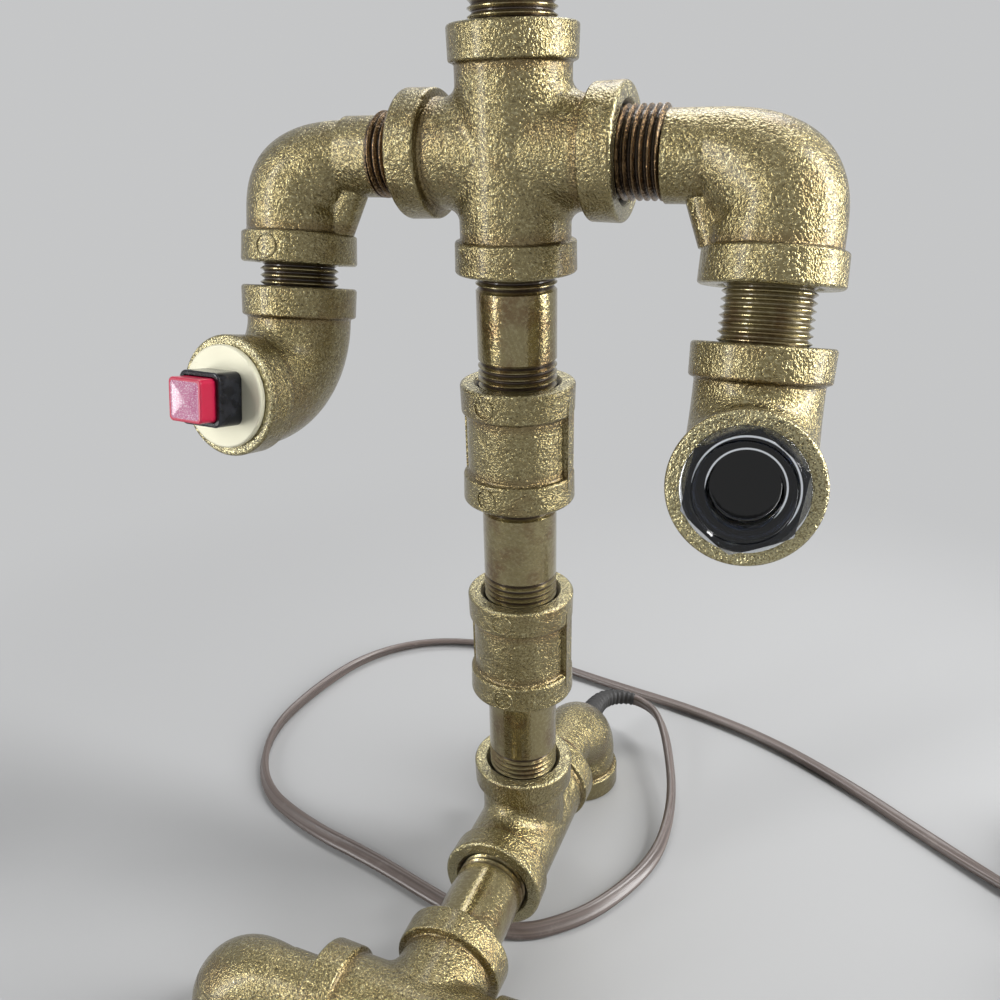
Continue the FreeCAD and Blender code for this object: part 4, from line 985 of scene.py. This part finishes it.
def make_lens(finish):
    """Square lens of the button: a thin rim round four shallow facets."""
    lens = start_block("button_facets", (LENS_WIDTH, LENS_WIDTH, LENS_THICKNESS))
    bpy.ops.object.mode_set(mode="EDIT")
    choose(lens, "EDGE", lambda edge: span(lens, edge, "z") > LENS_THICKNESS / 2)
    bpy.ops.mesh.bevel(offset=LENS_CORNER, segments=5)
    choose(lens, "FACE", lambda face: face.normal.z > 0.9)
    bpy.ops.mesh.inset(thickness=LENS_RIM)
    bpy.ops.mesh.poke(offset=-LENS_DISH)
    bpy.ops.object.mode_set(mode="OBJECT")
    side = LEFT_DOWN.cross(LEFT_OUT)
    stand_on(lens, middle("button_lens"), side, LEFT_OUT.cross(side))
    settle(lens, smooth_angle=3)
    lens.data.materials.append(finish)
    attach(lens, "button")
    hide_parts("button_lens")


RING_R = 2.9 * MM
RING_WIRE_R = 0.38 * MM
RING_SUNK = 0.08 * MM
# How far round each coupling its two rings stand, in degrees.
COUPLING_RINGS = {"upper_coupling": -105.0, "lower_coupling": -90.6}


def make_ring(name, body, finish, centre, axis, outward, height):
    """Small plain raised ring cast on a band, bent to the band's curve."""
    deselect()
    bpy.ops.mesh.primitive_torus_add(
        major_radius=RING_R, minor_radius=RING_WIRE_R, major_segments=40, minor_segments=10,
    )
    ring = bpy.context.object
    ring.name = name
    for vertex in ring.data.vertices:
        vertex.co.z += math.sqrt(BAND_R ** 2 - vertex.co.x ** 2) - RING_SUNK
    stand_on(ring, centre + axis * height, axis.cross(outward), axis)
    settle(ring, smooth_angle=60)
    ring.data.materials.append(finish)
    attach(ring, body)


def make_rings(casts):
    for node, turn in COUPLING_RINGS.items():
        centre, reach, _, _ = CASTINGS[node]
        up = reach - BAND_HEIGHT / 2
        make_ring(f"{node}_top_ring", "stand", casts[node], centre, Z, around(turn), up)
        make_ring(f"{node}_bottom_ring", "stand", casts[node], centre, Z, around(turn), -up)
    outward = LEFT_DOWN.cross(X).normalized()
    if outward.y > 0:
        outward = -outward
    elbow = casts["left_shoulder_elbow"]
    down = BAND_HEIGHT / 2 - REACH
    make_ring("left_shoulder_ring", "left_arm", elbow, LEFT_SHOULDER, -LEFT_DOWN, outward, down)


# ---------------------------------------------------------------- dressing
# How strongly the painted shade in the threads' grooves shows on the nipples whose threads
# shine.
GROOVE_SHADE_BY_NIPPLE = {"right_wrist_nipple": 0.35, "leg_nipple": 0.6}
# How far the grain moves from one casting to the next, in metres.
GRAIN_SHIFT = (0.11, 0.07, 0.05)


def dress(node, material):
    piece = frame["nodes"][node]
    piece.data.materials.clear()
    piece.data.materials.append(material)


def dress_nodes(finishes):
    casts = {}
    for row in frame["record"]["subparts"]:
        slot, node = row["material_slot"], row["node"]
        shift = tuple(step * len(casts) for step in GRAIN_SHIFT)
        if slot == "cast_gold_paint":
            casts[node] = cast_gold(f"cast_gold_{node}", CASTINGS[node], shift)
            dress(node, casts[node])
        elif slot == "pipe_gold_paint":
            dark = GROOVE_SHADE_BY_NIPPLE.get(node, 1.0)
            dress(node, pipe_gold(f"pipe_gold_{node}", middle(node), NIPPLES[node], shift, dark))
        else:
            dress(node, finishes[slot])
    return casts


# ---------------------------------------------------------------- studio
PALE = rgb(0.56, 0.565, 0.57)
FLOOR_PAPER = rgb(0.435, 0.438, 0.442)
FLOOR_SIZE = 60.0
FLOOR_BELOW = 0.2 * MM
# Where the floor's paper starts and ends its fade into the backdrop.
NEAR_FLOOR = 0.22
FAR_FLOOR = 0.44
# How strongly the backdrop lights the lamp.
SHADE_LIGHT = 0.35
# The sun: where it stands, how wide it is in degrees, and its strength.
KEY_PLACE, KEY_WIDTH, KEY_STRENGTH = (0.75, 0.10, 1.0), 10, 0.7
# The panels: where each hangs, what it faces, its width and height, its power.
PANELS = {
    "right_strip": ((0.84, 0.20, 0.46), (0, 0, 0.25), (0.32, 0.9), 12.5),
    "left_strip": ((-0.62, -0.66, 0.45), (0, 0, 0.25), (0.16, 0.9), 6.0),
    "back_panel": ((-0.10, 0.72, 1.05), (0, 0, 0.1), (0.7, 0.5), 6.5),
}


def hang(data, place, target):
    """Put a lamp at a place and aim it at a target."""
    lamp = bpy.data.objects.new(data.name, data)
    lamp.location = place
    lamp.rotation_euler = (Vector(target) - Vector(place)).to_track_quat("-Z", "Y").to_euler()
    bpy.context.scene.collection.objects.link(lamp)


def make_lamps():
    sun = bpy.data.lights.new("key", "SUN")
    sun.angle = math.radians(KEY_WIDTH)
    sun.energy = KEY_STRENGTH
    hang(sun, KEY_PLACE, (0, 0, 0))
    for name, (place, target, panel_size, power) in PANELS.items():
        panel = bpy.data.lights.new(name, "AREA")
        panel.shape = "RECTANGLE"
        panel.size, panel.size_y = panel_size
        panel.energy = power
        hang(panel, place, target)


def floor_paper():
    """Pale paper that takes the shadow near the object and fades into the backdrop."""
    paper = Finish("pale_floor")
    paper.put(Base_Color=FLOOR_PAPER, Roughness=0.9, Specular_IOR_Level=0.0)
    near = Value(paper, paper.shader.outputs["BSDF"])
    glow = paper.node("Emission", {}, {"Color": PALE, "Strength": 1.0})
    seen = 0.0
    for ray in ("Is Camera Ray", "Is Glossy Ray", "Is Transmission Ray"):
        seen = paper.node("LightPath", {}, {}, ray).larger(seen)
    far = paper.vector("LENGTH", paper.spot()).rise(NEAR_FLOOR, FAR_FLOOR)
    both = paper.node("MixShader", {}, {0: far * seen, 1: near, 2: glow})
    paper.feed(paper.tree.nodes["Material Output"].inputs["Surface"], both)
    return paper.material


def make_world():
    """A pale backdrop that looks brighter than it lights."""
    world = bpy.data.worlds.new("studio")
    world.use_nodes = True
    tree = world.node_tree
    backdrop = tree.nodes["Background"]
    backdrop.inputs["Color"].default_value = PALE
    rays = tree.nodes.new("ShaderNodeLightPath")
    dim = tree.nodes.new("ShaderNodeMapRange")
    dim.inputs["To Min"].default_value = 1.0
    dim.inputs["To Max"].default_value = SHADE_LIGHT
    tree.links.new(rays.outputs["Is Diffuse Ray"], dim.inputs["Value"])
    tree.links.new(dim.outputs["Result"], backdrop.inputs["Strength"])
    bpy.context.scene.world = world


def make_studio():
    deselect()
    bpy.ops.mesh.primitive_plane_add(size=FLOOR_SIZE, location=(0, 0, -FLOOR_BELOW))
    floor = bpy.context.object
    floor.name = "floor"
    floor.data.materials.append(floor_paper())
    make_lamps()
    make_world()


# ---------------------------------------------------------------- the lamp
place_camera()
bpy.context.scene.view_settings.view_transform = "Standard"
finishes = make_finishes()
make_cord(finishes["brown_cord"], finishes["black_rubber"])
make_studio()
casts = dress_nodes(finishes)
make_rings(casts)
make_lens(finishes["pink_lens"])
make_tie(finishes["black_rubber"])
make_plug_grips(finishes["brown_cord"])
